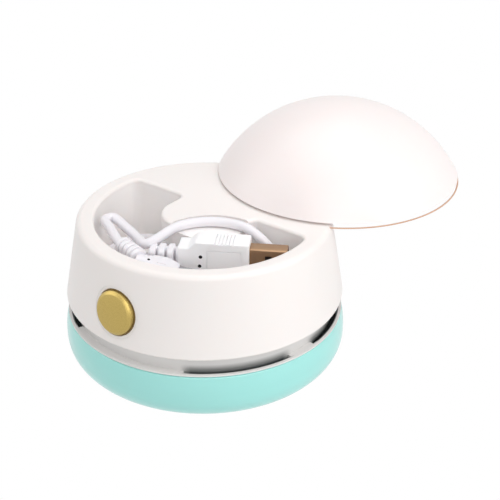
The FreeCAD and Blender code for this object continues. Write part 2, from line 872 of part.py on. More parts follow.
def make_motor_magnets():
    outer = d.motor_radius - d.motor_wall
    level = plate_top + (d.motor_height - d.armature_height) / 2
    arcs = [sector(f"magnet{number}", outer - d.magnet_thick, outer, d.armature_height, level,
                   d.magnet_start + HALF_TURN * number, d.magnet_angle) for number in range(2)]
    return fuse("motor_magnets", arcs)


def make_motor_end_cap():
    return ring("motor_end_cap", d.shaft_radius + d.running_gap, d.motor_radius,
                d.motor_cap_height, (0, 0, motor_top))


def make_motor_terminals():
    level = motor_top + d.motor_cap_height
    return fuse("motor_terminals", [
        box(f"terminal{side}", d.terminal_width, d.terminal_thick, d.terminal_height,
            (d.terminal_spread * side - d.terminal_width / 2, d.terminal_reach, level))
        for side in (-1, 1)])


def make_motor_screws():
    solids = []
    for side in (-1, 1):
        x = d.motor_screw_ring * side
        head = cylinder(f"motor_screw_head{side}", d.motor_screw_head, d.motor_screw_sink,
                        (x, 0, plate_bottom))
        shank = cylinder(f"motor_screw_shank{side}", d.motor_screw_radius,
                         d.plate_thick + d.motor_base, (x, 0, plate_bottom))
        solids.append(fuse(f"motor_screw{side}", [head, shank]))
    return fuse("motor_screws", solids)


def boss_prism(name, grow, level, height):
    """The boss in plan: straight sides, a flat front and two round front corners."""
    half = d.boss_half_width + grow
    corner = d.boss_corner + grow
    front_y = -(d.boss_front + grow)
    back_y = d.pocket_back + d.pocket_wall + d.overrun
    inner = half - corner
    pieces = [
        box(f"{name}_wide", half * 2, back_y - front_y - corner, height,
            (-half, front_y + corner, level)),
        box(f"{name}_narrow", inner * 2, back_y - front_y, height, (-inner, front_y, level)),
    ]
    for side in (-1, 1):
        pieces.append(cylinder(f"{name}_corner{side}", corner, height,
                               (inner * side, front_y + corner, level)))
    return fuse(name, pieces)


def make_pocket_tool():
    height = d.pocket_depth + d.overrun
    round_part = cylinder("pocket_round_part", pocket_radius, height, (0, 0, pocket_floor))
    reach = pocket_radius + d.overrun
    front_part = box("pocket_front_part", reach * 2, reach + d.pocket_back, height,
                     (-reach, -reach, pocket_floor))
    segment = common("pocket_segment", round_part, front_part)
    boss = boss_prism("pocket_boss", ZERO, pocket_floor - d.overrun, height + d.overrun * 2)
    raw = cut("pocket_raw", segment, [boss])

    def is_corner(edge):
        point = middle(edge)
        upright = abs(edge.Vertexes[0].Point.x - edge.Vertexes[-1].Point.x) < SAME
        return upright and len(edge.Vertexes) == 2 and abs(point.y - d.pocket_back.value) < SAME \
            and abs(edge.Vertexes[0].Point.z - edge.Vertexes[1].Point.z) > d.pocket_depth.value / 2

    return rounded("pocket_tool", raw, d.pocket_corner, is_corner)


def make_body_shell():
    outer = cone("shell_outer", body_radius, top_radius, d.body_height, (0, 0, d.body_bottom))
    hollow_height = d.body_height - d.land_thick
    hollow = cone("shell_hollow", body_radius - d.shell_wall,
                  body_radius - d.shell_wall - hollow_height * slope_rate, hollow_height,
                  (0, 0, d.body_bottom))
    skin = cut("shell_skin", outer, [hollow])
    block_level = pocket_floor - d.pocket_wall
    block_height = d.pocket_depth + d.pocket_wall
    block_radius = pocket_radius + d.pocket_wall
    block_round = cylinder("pocket_block_round", block_radius, block_height, (0, 0, block_level))
    reach = block_radius + d.overrun
    block_front = box("pocket_block_front", reach * 2, reach + d.pocket_back + d.pocket_wall,
                      block_height, (-reach, -reach, block_level))
    block = common("pocket_block", block_round, block_front)
    boss_hollow = boss_prism("boss_hollow", -d.pocket_wall, block_level - d.overrun,
                             block_height - d.boss_roof + d.overrun)
    walls = cut("pocket_walls", block, [boss_hollow])
    pillars = []
    tools = [make_pocket_tool()]
    for number, angle in enumerate(pillar_angles):
        x, y = polar(pillar_ring, angle)
        pillars.append(cylinder(f"pillar{number}", d.pillar_radius,
                                land_bottom - plate_top + d.fit_gap, (x, y, plate_top)))
        tools.append(cylinder(f"pillar_bore{number}", d.screw_radius + d.running_gap,
                              d.screw_bite + d.overrun, (x, y, plate_top)))
    pivot_boss = cylinder("pivot_boss", d.pivot_boss_radius, d.pivot_boss_height,
                          (0, pivot_reach, body_top - d.pivot_boss_height))
    whole = fuse("shell_whole", [skin, walls, pivot_boss] + pillars)
    tools += shell_holes()
    raw = cut("shell_raw", whole, tools)
    smooth = rounded("shell_top_smooth", raw, d.pocket_round, is_pocket_mouth)
    smooth = rounded("shell_edge_smooth", smooth, d.land_round,
                     lambda edge: near_ring(edge, top_radius, body_top))
    smooth = rounded("shell_foot_smooth", smooth, d.skirt_round,
                     lambda edge: near_ring(edge, body_radius, d.body_bottom))
    return cut("body_shell", smooth, [make_lead_rebate()])


def make_lead_rebate():
    """The shallow curved rebate along the front of the boss, in which the charging lead lies."""
    return cylinder("lead_rebate", d.rebate_radius, d.rebate_depth + d.overrun,
                    (d.rebate_x, d.rebate_y, body_top - d.rebate_depth),
                    (Z_AXIS, d.rebate_start), d.rebate_sweep)


def is_pocket_mouth(edge):
    point = middle(edge)
    reach = math.hypot(point.x, point.y)
    inside = point.y < d.pocket_back.value + SAME and reach < pocket_radius.value + SAME
    return inside and is_level(edge, body_top)


def button_place(depth):
    """A point on the button's axis, a depth behind the wall's outer face."""
    wall = body_radius - (d.button_height - d.body_bottom) * slope_rate
    return (0, depth * cosine(d.wall_slope) - wall, d.button_height - depth * sine(d.wall_slope))


def button_turn():
    return (X_AXIS, QUARTER_TURN - d.wall_slope)


def along_button(name, radius, back, front_depth):
    """A round piece on the button's axis, between two depths behind the wall's face."""
    return cylinder(name, radius, back - front_depth, button_place(back), button_turn())


def shell_holes():
    bezel_radius = d.button_radius + d.button_gap + d.bezel_width
    button_hole = along_button("button_hole", bezel_radius, d.shell_wall + d.overrun * 2,
                               -d.overrun * 2)
    socket_half = d.socket_width / 2 + d.socket_clear
    socket_low = board_top - d.socket_clear
    socket_hole = box("socket_hole", socket_half * 2, (d.shell_wall + d.overrun) * 2,
                      d.socket_height + d.socket_clear * 2,
                      (-socket_half, socket_back - d.shell_wall, socket_low))
    bush_bore = cylinder("bush_bore", d.pivot_radius + d.running_gap + d.bush_wall,
                         d.pivot_boss_height + d.overrun,
                         (0, pivot_reach, body_top - d.pivot_boss_height - d.overrun / 2))
    return [button_hole, socket_hole, bush_bore, make_stop_groove()]


def make_stop_groove():
    half = d.stop_radius + d.stop_gap
    margin = half / d.stop_ring * DEGREES
    height = d.overrun * 2
    level = body_top + d.washer_thick + d.hub_clear - d.stop_length - d.stop_gap
    at = (0, pivot_reach, level)
    outer = cylinder("groove_outer", d.stop_ring + half, height, at, (Z_AXIS, -margin),
                     d.lid_travel + margin * 2)
    inner = cylinder("groove_inner", d.stop_ring - half, height, at)
    return cut("stop_groove", outer, [inner])


def make_button_cap():
    cap = along_button("button_face", d.button_radius, d.shell_wall + d.button_back_gap,
                       -d.button_proud)
    cap = rounded("button_face_round", cap, d.button_round, is_button_rim)
    back = d.shell_wall + d.button_back_gap
    flange = along_button("button_flange_disc", d.button_radius + d.button_flange,
                          back + d.button_flange_thick, back)
    return fuse("button_cap", [cap, flange])


def is_button_rim(edge):
    if len(edge.Vertexes) != 1:
        return False
    return middle(edge).y < button_place(ZERO)[1].value


def make_button_bezel():
    inner = d.button_radius + d.button_gap
    outer = along_button("bezel_outer", inner + d.bezel_width, d.shell_wall, d.bezel_inset)
    hole = along_button("bezel_hole", inner, d.shell_wall + d.overrun, -d.overrun)
    return cut("button_bezel", outer, [hole])


def make_switch_plunger():
    back = d.shell_wall + d.button_back_gap + d.button_flange_thick
    return along_button("switch_plunger", d.plunger_radius, d.switch_front + d.plunger_insert, back)


def on_button_axis(name, width, height, thick, back):
    """A flat square piece across the button's axis, its back face at a depth."""
    y_shift = height / 2
    x, y, z = button_place(back)
    up_y = y_shift * sine(d.wall_slope)
    up_z = y_shift * cosine(d.wall_slope)
    return box(name, width, height, thick, (-width / 2, y - up_y, z - up_z), button_turn())


def make_push_switch():
    form = on_button_axis("switch_form", d.switch_width, d.switch_width, d.switch_thick,
                          d.switch_front + d.switch_thick)
    well = along_button("switch_well_hole", d.plunger_radius + d.plunger_gap,
                        d.switch_front + d.switch_well, d.switch_front - d.overrun)
    return cut("push_switch", form, [well])


def make_switch_board():
    return on_button_axis("switch_board", d.switch_board_width, d.switch_board_height,
                          d.switch_board_thick,
                          d.switch_front + d.switch_thick + d.switch_board_thick)


def lid_centre():
    """The lid's centre when it is open as in the photograph."""
    x = pivot_reach * sine(d.lid_angle)
    y = pivot_reach - pivot_reach * cosine(d.lid_angle)
    return x, y


def make_lid_dome():
    x, y = lid_centre()
    rim = body_top + d.lid_gap
    ball = (lid_radius * lid_radius + d.lid_rise * d.lid_rise) / (d.lid_rise * 2)
    centre = (x, y, rim + d.lid_rise - ball)
    outer = sphere("lid_outer", ball, centre)
    inner = sphere("lid_inner", ball - d.lid_wall, centre)
    slab = cylinder("lid_slab", lid_radius + d.overrun, d.lid_rise + d.overrun, (x, y, rim))
    cap = common("lid_cap", cut("lid_shell", outer, [inner]), slab)
    hub_level = body_top + d.washer_thick + d.hub_clear
    hub = cylinder("lid_hub", d.lid_hub_radius, d.lid_rise, (0, pivot_reach, hub_level))
    disc = cylinder("lid_hub_disc", d.lid_disc_radius, d.lid_disc_thick,
                    (0, pivot_reach, hub_level))
    inside = sphere("lid_inside", ball - d.lid_wall / 2, centre)
    hub = common("lid_hub_trim", fuse("lid_hub_form", [hub, disc]), inside)
    pin_x = d.stop_ring * cosine(d.lid_angle)
    pin_y = pivot_reach + d.stop_ring * sine(d.lid_angle)
    pin = cylinder("lid_stop_pin", d.stop_radius, d.stop_length + d.lid_disc_thick / 2,
                   (pin_x, pin_y, hub_level - d.stop_length))
    bore = cylinder("lid_hub_bore", d.pivot_radius, d.screw_bite_lid + d.overrun,
                    (0, pivot_reach, hub_level - d.overrun))
    return cut("lid_dome", fuse("lid_whole", [cap, hub, pin]), [bore])


def make_pivot_screw():
    low = body_top - d.pivot_boss_height - d.pivot_head_gap
    hub_level = body_top + d.washer_thick + d.hub_clear
    head = cylinder("pivot_head", d.pivot_head_radius, d.pivot_head_height,
                    (0, pivot_reach, low - d.pivot_head_height))
    shank = cylinder("pivot_shank", d.pivot_radius,
                     hub_level + d.screw_bite_lid - low + d.fit_gap,
                     (0, pivot_reach, low - d.fit_gap))
    slot = box("pivot_slot", d.pivot_head_radius * 2, d.pivot_radius / 2, d.pivot_head_height / 2,
               (-d.pivot_head_radius, pivot_reach - d.pivot_radius / 4,
                low - d.pivot_head_height))
    return cut("pivot_screw", fuse("pivot_screw_form", [head, shank]), [slot])


def make_pivot_bush():
    inner = d.pivot_radius + d.running_gap
    return ring("pivot_bush", inner, inner + d.bush_wall, d.pivot_boss_height,
                (0, pivot_reach, body_top - d.pivot_boss_height))


def make_pivot_washer():
    inner = d.pivot_radius + d.running_gap
    return ring("pivot_washer", inner, inner + d.washer_width, d.washer_thick,
                (0, pivot_reach, body_top))


def make_battery_cell():
    return cylinder("battery_cell", d.cell_radius, d.cell_length,
                    (-d.cell_length / 2, cell_offset, cell_level), (Y_AXIS, QUARTER_TURN))


def make_battery_cradle():
    pieces = []
    for side in (-1, 1):
        pieces.append(box(f"cradle_saddle{side}", d.cradle_width, d.cradle_depth,
                          d.cradle_height,
                          (d.cradle_spacing * side - d.cradle_width / 2,
                           cell_offset - d.cradle_depth / 2, plate_top)))
    pieces.append(box("cradle_strip", d.cradle_spacing * 2, d.cradle_width, d.cell_lift / 2,
                      (-d.cradle_spacing, cell_offset - d.cradle_width / 2, plate_top)))
    hollow = cylinder("cradle_hollow", d.cell_radius, d.cell_length + d.overrun,
                      (-(d.cell_length + d.overrun) / 2, cell_offset, cell_level),
                      (Y_AXIS, QUARTER_TURN))
    return cut("battery_cradle", fuse("cradle_form", pieces), [hollow])


def make_battery_tabs():
    half = d.cell_length / 2
    left = box("tab_left", d.tab_thick, d.tab_width, d.tab_width,
               (-half - d.tab_thick, cell_offset - d.tab_width / 2,
                cell_level - d.tab_width / 2))
    right = box("tab_right", d.tab_thick, d.tab_width, d.tab_width,
                (half, cell_offset - d.tab_width / 2, cell_level - d.tab_width / 2))
    return fuse("battery_tabs", [left, right])


def make_control_board():
    return box("control_board", d.board_width, d.board_depth, d.board_thick,
               (-d.board_width / 2, board_front, plate_top + d.board_lift))


def make_charge_chip():
    return box("charge_chip", d.chip_width, d.chip_depth, d.chip_height,
               (-d.chip_place - d.chip_width / 2, board_front + d.chip_depth, board_top))


def make_charge_socket():
    form = box("socket_form", d.socket_width, d.socket_length, d.socket_height,
               (-d.socket_width / 2, socket_back - d.socket_length, board_top))
    mouth = box("socket_mouth", d.socket_width - d.socket_wall * 2, d.socket_depth + d.overrun,
                d.socket_height - d.socket_wall * 2,
                (-d.socket_width / 2 + d.socket_wall, socket_back - d.socket_depth,
                 board_top + d.socket_wall))
    return cut("charge_socket", form, [mouth])


def plug_place(along, across, up):
    """A place in the USB plug's own directions: along its axis, across to its back, and up."""
    foot_x = d.plug_distance * sine(d.plug_heading)
    foot_y = -(d.plug_distance * cosine(d.plug_heading))
    level = body_top + d.plug_rise - d.plug_width / 2
    return (foot_x + along * cosine(d.plug_heading) - across * sine(d.plug_heading),
            foot_y + along * sine(d.plug_heading) + across * cosine(d.plug_heading),
            level + up)


def plug_box(name, start, length, across, thick, low, high):
    """A box in the plug's directions; across is the place of its front side."""
    return box(name, length, thick, high - low, plug_place(start, across, low),
               (Z_AXIS, d.plug_heading))


def make_usb_plug_body():
    neck = d.neck_width / 2
    wide = d.plug_width / 2
    shoulder = d.plug_start + d.neck_length
    main = shoulder + d.shoulder_length
    end = d.plug_start + d.plug_length
    body = padded("plug_form", "XZ_Plane", [
        (d.plug_start, -neck), (shoulder, -neck), (main, -wide), (end, -wide),
        (end, wide), (main, wide), (shoulder, neck), (d.plug_start, neck)], d.plug_thick)
    body_rounded(body, "plug_smooth", d.plug_round, is_long_plug_edge)
    place(body, plug_place(ZERO, ZERO, ZERO), (Z_AXIS, d.plug_heading))
    tools = []
    half = d.plug_thick / 2
    for number in range(PLUG_GROOVES):
        tools.append(plug_box(f"plug_groove{number}", d.groove_place + d.groove_pitch * number,
                              d.groove_width, -half - d.overrun, d.plug_thick + d.overrun * 2,
                              wide - d.groove_depth, wide + d.overrun))
    panel_half = d.panel_width / 2
    frame = plug_box("panel_frame", d.panel_start, d.panel_length, -half - d.overrun,
                     d.overrun + d.panel_depth, -panel_half, panel_half)
    island = plug_box("panel_island", d.panel_start + d.panel_line,
                      d.panel_length - d.panel_line * 2, -half - d.overrun,
                      d.overrun * 2 + d.panel_depth, -panel_half + d.panel_line,
                      panel_half - d.panel_line)
    tools.append(cut("panel_line_tool", frame, [island]))
    return cut("usb_plug_body", body, tools)


def is_long_plug_edge(edge):
    """The edges where the outline meets the two broad faces, apart from the plug's two ends."""
    half = d.plug_thick.value / 2
    points = [vertex.Point for vertex in edge.Vertexes]
    flat = all(abs(abs(point.y) - half) < SAME for point in points)
    same_side = abs(points[0].y - points[-1].y) < SAME
    lengthwise = abs(points[0].x - points[-1].x) > SAME
    return flat and same_side and lengthwise


def relief_form(name, length, radius, core):
    """A strain relief of thick rings on a core, turned about Z from its base at zero."""
    points = [(ZERO, ZERO)]
    pitch = (length - d.relief_ring) / (RELIEF_RINGS - 1)
    for number in range(RELIEF_RINGS):
        low = pitch * number
        high = low + d.relief_ring
        reach = radius - d.relief_taper * number
        points += [(core, low), (reach, low), (reach, high), (core, high)]
    points += [(ZERO, length)]
    return revolved(name, points[:1] + points[2:-2] + points[-1:])


def make_usb_relief():
    relief = relief_form("usb_relief", d.relief_length, d.relief_radius, d.relief_core)
    x, y, z = plug_place(d.plug_start, ZERO, ZERO)
    backwards = FreeCAD.Rotation(Y_AXIS, -QUARTER_TURN.value)
    relief.Placement = FreeCAD.Placement(
        FreeCAD.Vector(x.value, y.value, z.value),
        FreeCAD.Rotation(Z_AXIS, d.plug_heading.value).multiply(backwards))
    for letter, size in zip("xyz", (x, y, z)):
        relief.setExpression(f"Placement.Base.{letter}", size.text)
    return relief


def make_usb_plug_shell():
    start = d.plug_start + d.plug_length
    half = d.usb_shell_thick / 2
    wide = d.usb_shell_width / 2
    outer = plug_box("usb_shell_outer", start, d.usb_shell_length, -half, d.usb_shell_thick,
                     -wide, wide)
    skin = d.usb_shell_sheet
    hollow = plug_box("usb_shell_hollow", start + skin, d.usb_shell_length, -half + skin,
                      d.usb_shell_thick - skin * 2, -wide + skin, wide - skin)
    tools = [hollow]
    for side in (-1, 1):
        centre = d.usb_hole_spread * side
        tools.append(plug_box(f"usb_hole{side}", start + d.usb_hole_place, d.usb_hole,
                              -half - d.overrun, d.overrun + d.usb_shell_thick / 2,
                              centre - d.usb_hole / 2, centre + d.usb_hole / 2))
    return cut("usb_plug_shell", outer, tools)


def make_usb_plug_tongue():
    start = d.plug_start + d.plug_length + d.usb_shell_sheet
    back = d.usb_shell_thick / 2 - d.usb_shell_sheet
    wide = d.usb_shell_width / 2 - d.usb_shell_sheet
    return plug_box("usb_plug_tongue", start, d.usb_shell_length - d.usb_shell_sheet - d.tongue_inset,
                    back - d.tongue_thick, d.tongue_thick, -wide, wide)


def device_placement(along):
    """A place on the device plug's axis, and its directions."""
    turn = FreeCAD.Rotation(d.device_heading.value, d.device_dip.value, 0)
    start = FreeCAD.Vector(d.device_x.value, d.device_y.value, d.device_z.value)
    return FreeCAD.Placement(start + turn.multVec(FreeCAD.Vector(along.value, 0, 0)), turn)


def make_device_relief():
    relief = relief_form("device_relief", d.device_relief_length, d.device_relief_radius,
                         d.device_relief_core)
    spot = device_placement(d.device_relief_length)
    backwards = FreeCAD.Rotation(Y_AXIS, -QUARTER_TURN.value)
    relief.Placement = FreeCAD.Placement(spot.Base, spot.Rotation.multiply(backwards))
    return relief


def make_device_plug_body():
    end = d.device_length
    half = d.device_thick / 2
    body = padded("device_plug_body", "XZ_Plane",
                  [(ZERO, -half), (end, -half), (end, half), (ZERO, half)], d.device_width)
    body_rounded(body, "device_smooth", d.device_round, is_lengthwise)
    body.Placement = device_placement(d.device_relief_length)
    return body


def is_lengthwise(edge):
    points = [vertex.Point for vertex in edge.Vertexes]
    return abs(points[0].x - points[-1].x) > SAME


def make_device_plug_tip():
    half = d.tip_thick / 2
    tip = padded("device_plug_tip", "XZ_Plane",
                 [(ZERO, -half), (d.tip_length, -half), (d.tip_length, half), (ZERO, half)],
                 d.tip_width)
    body_rounded(tip, "tip_smooth", d.tip_round, is_lengthwise)
    tip.Placement = device_placement(d.device_relief_length + d.device_length)
    return tip


NODES = [
    make_base_bowl(),
    make_foot_ring(),
    make_nozzle_ring(),
    make_brush_ring(),
    make_lower_housing(),
    make_fan_shroud(),
    make_screws("shroud_screws", [polar(post_ring, angle) for angle in post_angles],
                shroud_bottom, plate_top - shroud_bottom - d.fit_gap),
    make_exhaust_filter(),
    make_filter_frame(),
    make_filter_mesh(),
    make_impeller(),
    make_motor_shaft(),
    make_motor_armature(),
    make_motor_can(),
    make_motor_magnets(),
    make_motor_end_cap(),
    make_motor_terminals(),
    make_motor_screws(),
    make_body_shell(),
    make_screws("housing_screws", [polar(pillar_ring, angle) for angle in pillar_angles],
                plate_bottom, d.plate_thick + d.screw_bite),
    make_button_cap(),
    make_button_bezel(),
    make_switch_plunger(),
    make_push_switch(),
    make_switch_board(),
    make_lid_dome(),
    make_pivot_screw(),
    make_pivot_bush(),
    make_pivot_washer(),
    make_battery_cell(),
    make_battery_cradle(),
    make_battery_tabs(),
    make_control_board(),
    make_charge_chip(),
    make_charge_socket(),
    make_usb_plug_body(),
    make_usb_relief(),
    make_usb_plug_shell(),
    make_usb_plug_tongue(),
    make_device_relief(),
    make_device_plug_body(),
    make_device_plug_tip(),
    cord("charging_cord", [CORD_ROUTE], d.cord_diameter),
    cord("motor_leads", pair(MOTOR_START, [], MOTOR_END, ZERO, ZERO), d.lead_diameter),
    cord("battery_leads", pair(BATTERY_START, [], BATTERY_END, d.cell_length / 2, ZERO),
         d.lead_diameter),
    cord("switch_leads", pair(SWITCH_START, SWITCH_MIDDLE, SWITCH_END, ZERO,
                              button_place(ZERO)[1]), d.lead_diameter),
]

doc.recompute()
faults = [f"{obj.Label}: {obj.State}" for obj in doc.Objects
          if "Invalid" in obj.State or "Error" in obj.State]
for node in NODES:
    shape = node.Shape
    if shape.isNull() or not shape.isValid() or not shape.Solids:
        faults.append(f"{node.Label}: shape is not a valid solid")
if faults:
    raise RuntimeError("; ".join(faults))

os.makedirs("parts", exist_ok=True)
for node in NODES:
    node.Shape.exportStep(os.path.join("parts", f"{node.Label}.step"))
print(f"{len(NODES)} nodes written")
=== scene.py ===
import math

import bmesh
import bpy
from mathutils import Matrix, Vector


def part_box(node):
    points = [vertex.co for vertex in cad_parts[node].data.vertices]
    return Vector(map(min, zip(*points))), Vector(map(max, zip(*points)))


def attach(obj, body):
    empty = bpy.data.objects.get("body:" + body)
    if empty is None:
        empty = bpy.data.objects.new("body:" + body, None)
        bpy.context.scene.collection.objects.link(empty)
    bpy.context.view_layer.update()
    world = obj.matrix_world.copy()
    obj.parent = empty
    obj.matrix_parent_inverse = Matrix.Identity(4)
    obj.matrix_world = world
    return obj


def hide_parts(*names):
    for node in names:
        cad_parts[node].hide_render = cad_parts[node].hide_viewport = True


# Desktop mini vacuum cleaner, dressed for the photograph's view, +Z up. The scene is in metres,
# and the sizes of its own pieces are written in millimetres.
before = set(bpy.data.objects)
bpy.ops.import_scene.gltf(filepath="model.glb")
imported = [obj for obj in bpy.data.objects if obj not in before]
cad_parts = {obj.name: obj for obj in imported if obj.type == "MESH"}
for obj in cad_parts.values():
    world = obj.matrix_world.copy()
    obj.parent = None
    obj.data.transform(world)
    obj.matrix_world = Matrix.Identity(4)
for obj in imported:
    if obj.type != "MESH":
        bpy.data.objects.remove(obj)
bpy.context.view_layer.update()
MM = 0.001
FULL_TURN = 2 * math.pi

# The charging lead's route, from the USB plug's relief to the device plug's. The hidden turns
# follow the part's source, and the arc and the fold on top follow the photograph.
CORD_ROUTE = [
    (-2.95, -20.7, 40.85), (-6.6, -22.8, 40.85), (-12.2, -25.6, 40.0), (-18.8, -23.6, 37.2),
    (-25.2, -17.0, 33.6), (-29.2, -8.0, 30.9), (-29.3, 0.6, 29.9), (-24.2, 5.2, 29.7),
    (-18.4, 3.6, 29.7), (-16.2, -4.0, 29.7), (-16.6, -13.5, 29.7), (-12.6, -22.6, 29.7),
    (-4.5, -28.0, 29.7), (6.5, -29.2, 29.7), (16.8, -24.6, 29.7), (24.6, -17.0, 29.8),
    (30.0, -6.0, 30.6), (28.8, 2.6, 33.8), (25.0, 4.4, 38.8), (20.6, 2.6, 44.4),
    (14.9, 2.1, 47.1), (9.0, 1.5, 47.1), (3.6, -1.1, 47.1), (-0.6, -5.5, 47.1),
    (-2.82, -10.91, 47.1), (-4.1, -17.4, 45.5), (-5.8, -21.4, 44.3), (-10.6, -18.7, 43.9),
    (-17.2, -16.1, 44.1), (-22.2, -14.4, 44.4), (-25.9, -13.3, 44.6), (-26.3, -17.2, 44.8),
    (-22.0, -19.4, 45.0), (-17.0, -22.8, 45.3), (-12.6, -25.6, 45.5), (-9.2, -27.4, 45.7),
]
CORD_DIAMETER = 3.0

# How fine the patterns of the materials are, and how deep the fine grain is.
DRIFT_SCALE = 18.0
POLISH_SCALE = 70.0
GRAIN_SCALE = 2600.0
CABLE_GRAIN_SCALE = 4200.0
SPECK_SCALE = 5200.0
FOAM_SCALE = 1500.0
GRAIN_DEPTH = 0.01 * MM

# Where the pocket's inside begins, which the shell paints paler as painted light: distance from the
# axis, and height.
POCKET_REACH = (33.5, 35.5)
POCKET_LEVEL = (46.2, 47.8)

# The air windows in degrees round the axis, where their painted shade begins and ends in height and
# distance from the axis, and how far in radians it fades before and after a window's end.
WINDOW_ANGLES = ((-60.5, -14.3), (-0.7, 45.5), (-165.7, -119.5), (134.5, 180.0), (-180.0, -179.3))
WINDOW_END_BEFORE, WINDOW_END_AFTER = 0.05, 0.03
WINDOW_SHADE_LEVEL = (16.6, 19.6)
WALL_REACH = (40.4, 40.8)
LIP_INSIDE = (41.6, 41.8)
LIP_OUTSIDE = (42.1, 42.4)


class Nodes:
    """Adds shader nodes to one material and links them by plain calls."""

    def __init__(self, name):
        self.material = bpy.data.materials.new(name)
        self.material.use_nodes = True
        self.tree = self.material.node_tree
        self.shader = self.tree.nodes["Principled BSDF"]
        self.output = self.tree.nodes["Material Output"]
        coordinates = self.tree.nodes.new("ShaderNodeTexCoord")
        self.place = coordinates.outputs["Object"]

    def node(self, kind, **settings):
        node = self.tree.nodes.new(kind)
        for key, value in settings.items():
            setattr(node, key, value)
        return node

    def link(self, source, target):
        self.tree.links.new(source, target)

    def set(self, **values):
        """Values of the main shader's inputs, with underscores for the spaces in their names."""
        for key, value in values.items():
            self.shader.inputs[key.replace("_", " ")].default_value = value

    def noise(self, scale, detail=3.0, roughness=0.5, stretch=None):
        node = self.node("ShaderNodeTexNoise")
        node.inputs["Scale"].default_value = scale
        node.inputs["Detail"].default_value = detail
        node.inputs["Roughness"].default_value = roughness
        place = self.place
        if stretch:
            mapping = self.node("ShaderNodeMapping")
            mapping.inputs["Scale"].default_value = stretch
            self.link(place, mapping.inputs["Vector"])
            place = mapping.outputs["Vector"]
        self.link(place, node.inputs["Vector"])
        return node.outputs["Fac"]

    def ramp(self, source, stops):
        node = self.node("ShaderNodeValToRGB")
        for element, (position, colour) in zip(node.color_ramp.elements, stops):
            element.position = position
            element.color = (*colour, 1.0)
        self.link(source, node.inputs["Fac"])
        return node.outputs["Color"]

    def spread(self, source, low, high, start=0.3, end=0.7):
        """The source's stretch from start to end, spread over low to high."""
        node = self.node("ShaderNodeMapRange")
        node.inputs["From Min"].default_value = start
        node.inputs["From Max"].default_value = end
        node.inputs["To Min"].default_value = low
        node.inputs["To Max"].default_value = high
        self.link(source, node.inputs["Value"])
        return node.outputs["Result"]

    def within(self, source, stretch):
        """1 before a stretch in millimetres, 0 after it."""
        return self.spread(source, 1.0, 0.0, stretch[0] * MM, stretch[1] * MM)

    def beyond(self, source, stretch):
        """0 before a stretch in millimetres, 1 after it."""
        return self.spread(source, 0.0, 1.0, stretch[0] * MM, stretch[1] * MM)

    def bump(self, source, strength, distance):
        """Fine relief on the whole surface."""
        node = self.node("ShaderNodeBump")
        node.inputs["Strength"].default_value = strength
        node.inputs["Distance"].default_value = distance
        self.link(source, node.inputs["Height"])
        self.link(node.outputs["Normal"], self.shader.inputs["Normal"])

    def mix(self, share, first, second):
        node = self.node("ShaderNodeMix", data_type="RGBA")
        self.link(share, node.inputs["Factor"])
        self.link(first, node.inputs["A"])
        node.inputs["B"].default_value = (*second, 1.0)
        return node.outputs["Result"]

    def sum(self, operation, first, second=None):
        """One step of arithmetic on node outputs and plain numbers."""
        node = self.node("ShaderNodeMath", operation=operation)
        for socket, value in zip(node.inputs, (first, second)):
            if value is None:
                continue
            if isinstance(value, float):
                socket.default_value = value
            else:
                self.link(value, socket)
        return node.outputs["Value"]

    def part(self, axis):
        node = self.node("ShaderNodeSeparateXYZ")
        self.link(self.place, node.inputs["Vector"])
        return node.outputs[axis]

    def round_place(self):
        """A point's distance from the object's axis and its height."""
        flat = self.node("ShaderNodeVectorMath", operation="MULTIPLY")
        self.link(self.place, flat.inputs[0])
        flat.inputs[1].default_value = (1.0, 1.0, 0.0)
        far = self.node("ShaderNodeVectorMath", operation="LENGTH")
        self.link(flat.outputs["Vector"], far.inputs[0])
        return far.outputs["Value"], self.part("Z")


def linear(red, green, blue):
    """A colour given in screen values, turned into the shader's linear values."""
    channels = []
    for value in (red, green, blue):
        share = value / 255
        if share <= 0.04045:
            channels.append(share / 12.92)
        else:
            channels.append(((share + 0.055) / 1.055) ** 2.4)
    return tuple(channels)


def pocket_mask(m):
    """1 in the storage pocket under the rim, 0 on the outside."""
    across, level = m.round_place()
    return m.sum("MULTIPLY", m.within(across, POCKET_REACH), m.within(level, POCKET_LEVEL))


def moulded(name, pale, deep, rough, grain=GRAIN_SCALE, grain_depth=GRAIN_DEPTH, coat=0.0,
            subsurface=0.0, inside=None):
    """Moulded plastic: two near colours in wide soft drifts, and a fine spark-eroded grain."""
    m = Nodes(name)
    tint = m.ramp(m.noise(DRIFT_SCALE, detail=1.0), [(0.1, deep), (0.9, pale)])
    # Painted light: a paler white inside the storage pocket stands in for light reaching it.
    if inside:
        tint = m.mix(pocket_mask(m), tint, inside)
    m.link(tint, m.shader.inputs["Base Color"])
    m.link(m.spread(m.noise(POLISH_SCALE, detail=2.0), rough - 0.02, rough + 0.03),
           m.shader.inputs["Roughness"])
    m.bump(m.noise(grain, detail=2.0, roughness=0.6), strength=0.25, distance=grain_depth)
    m.set(IOR=1.5, Coat_Weight=coat, Coat_Roughness=0.12)
    if subsurface:
        m.set(Subsurface_Weight=subsurface, Subsurface_Scale=2 * MM,
              Subsurface_Radius=(1.0, 0.6, 0.5))
    return m.material


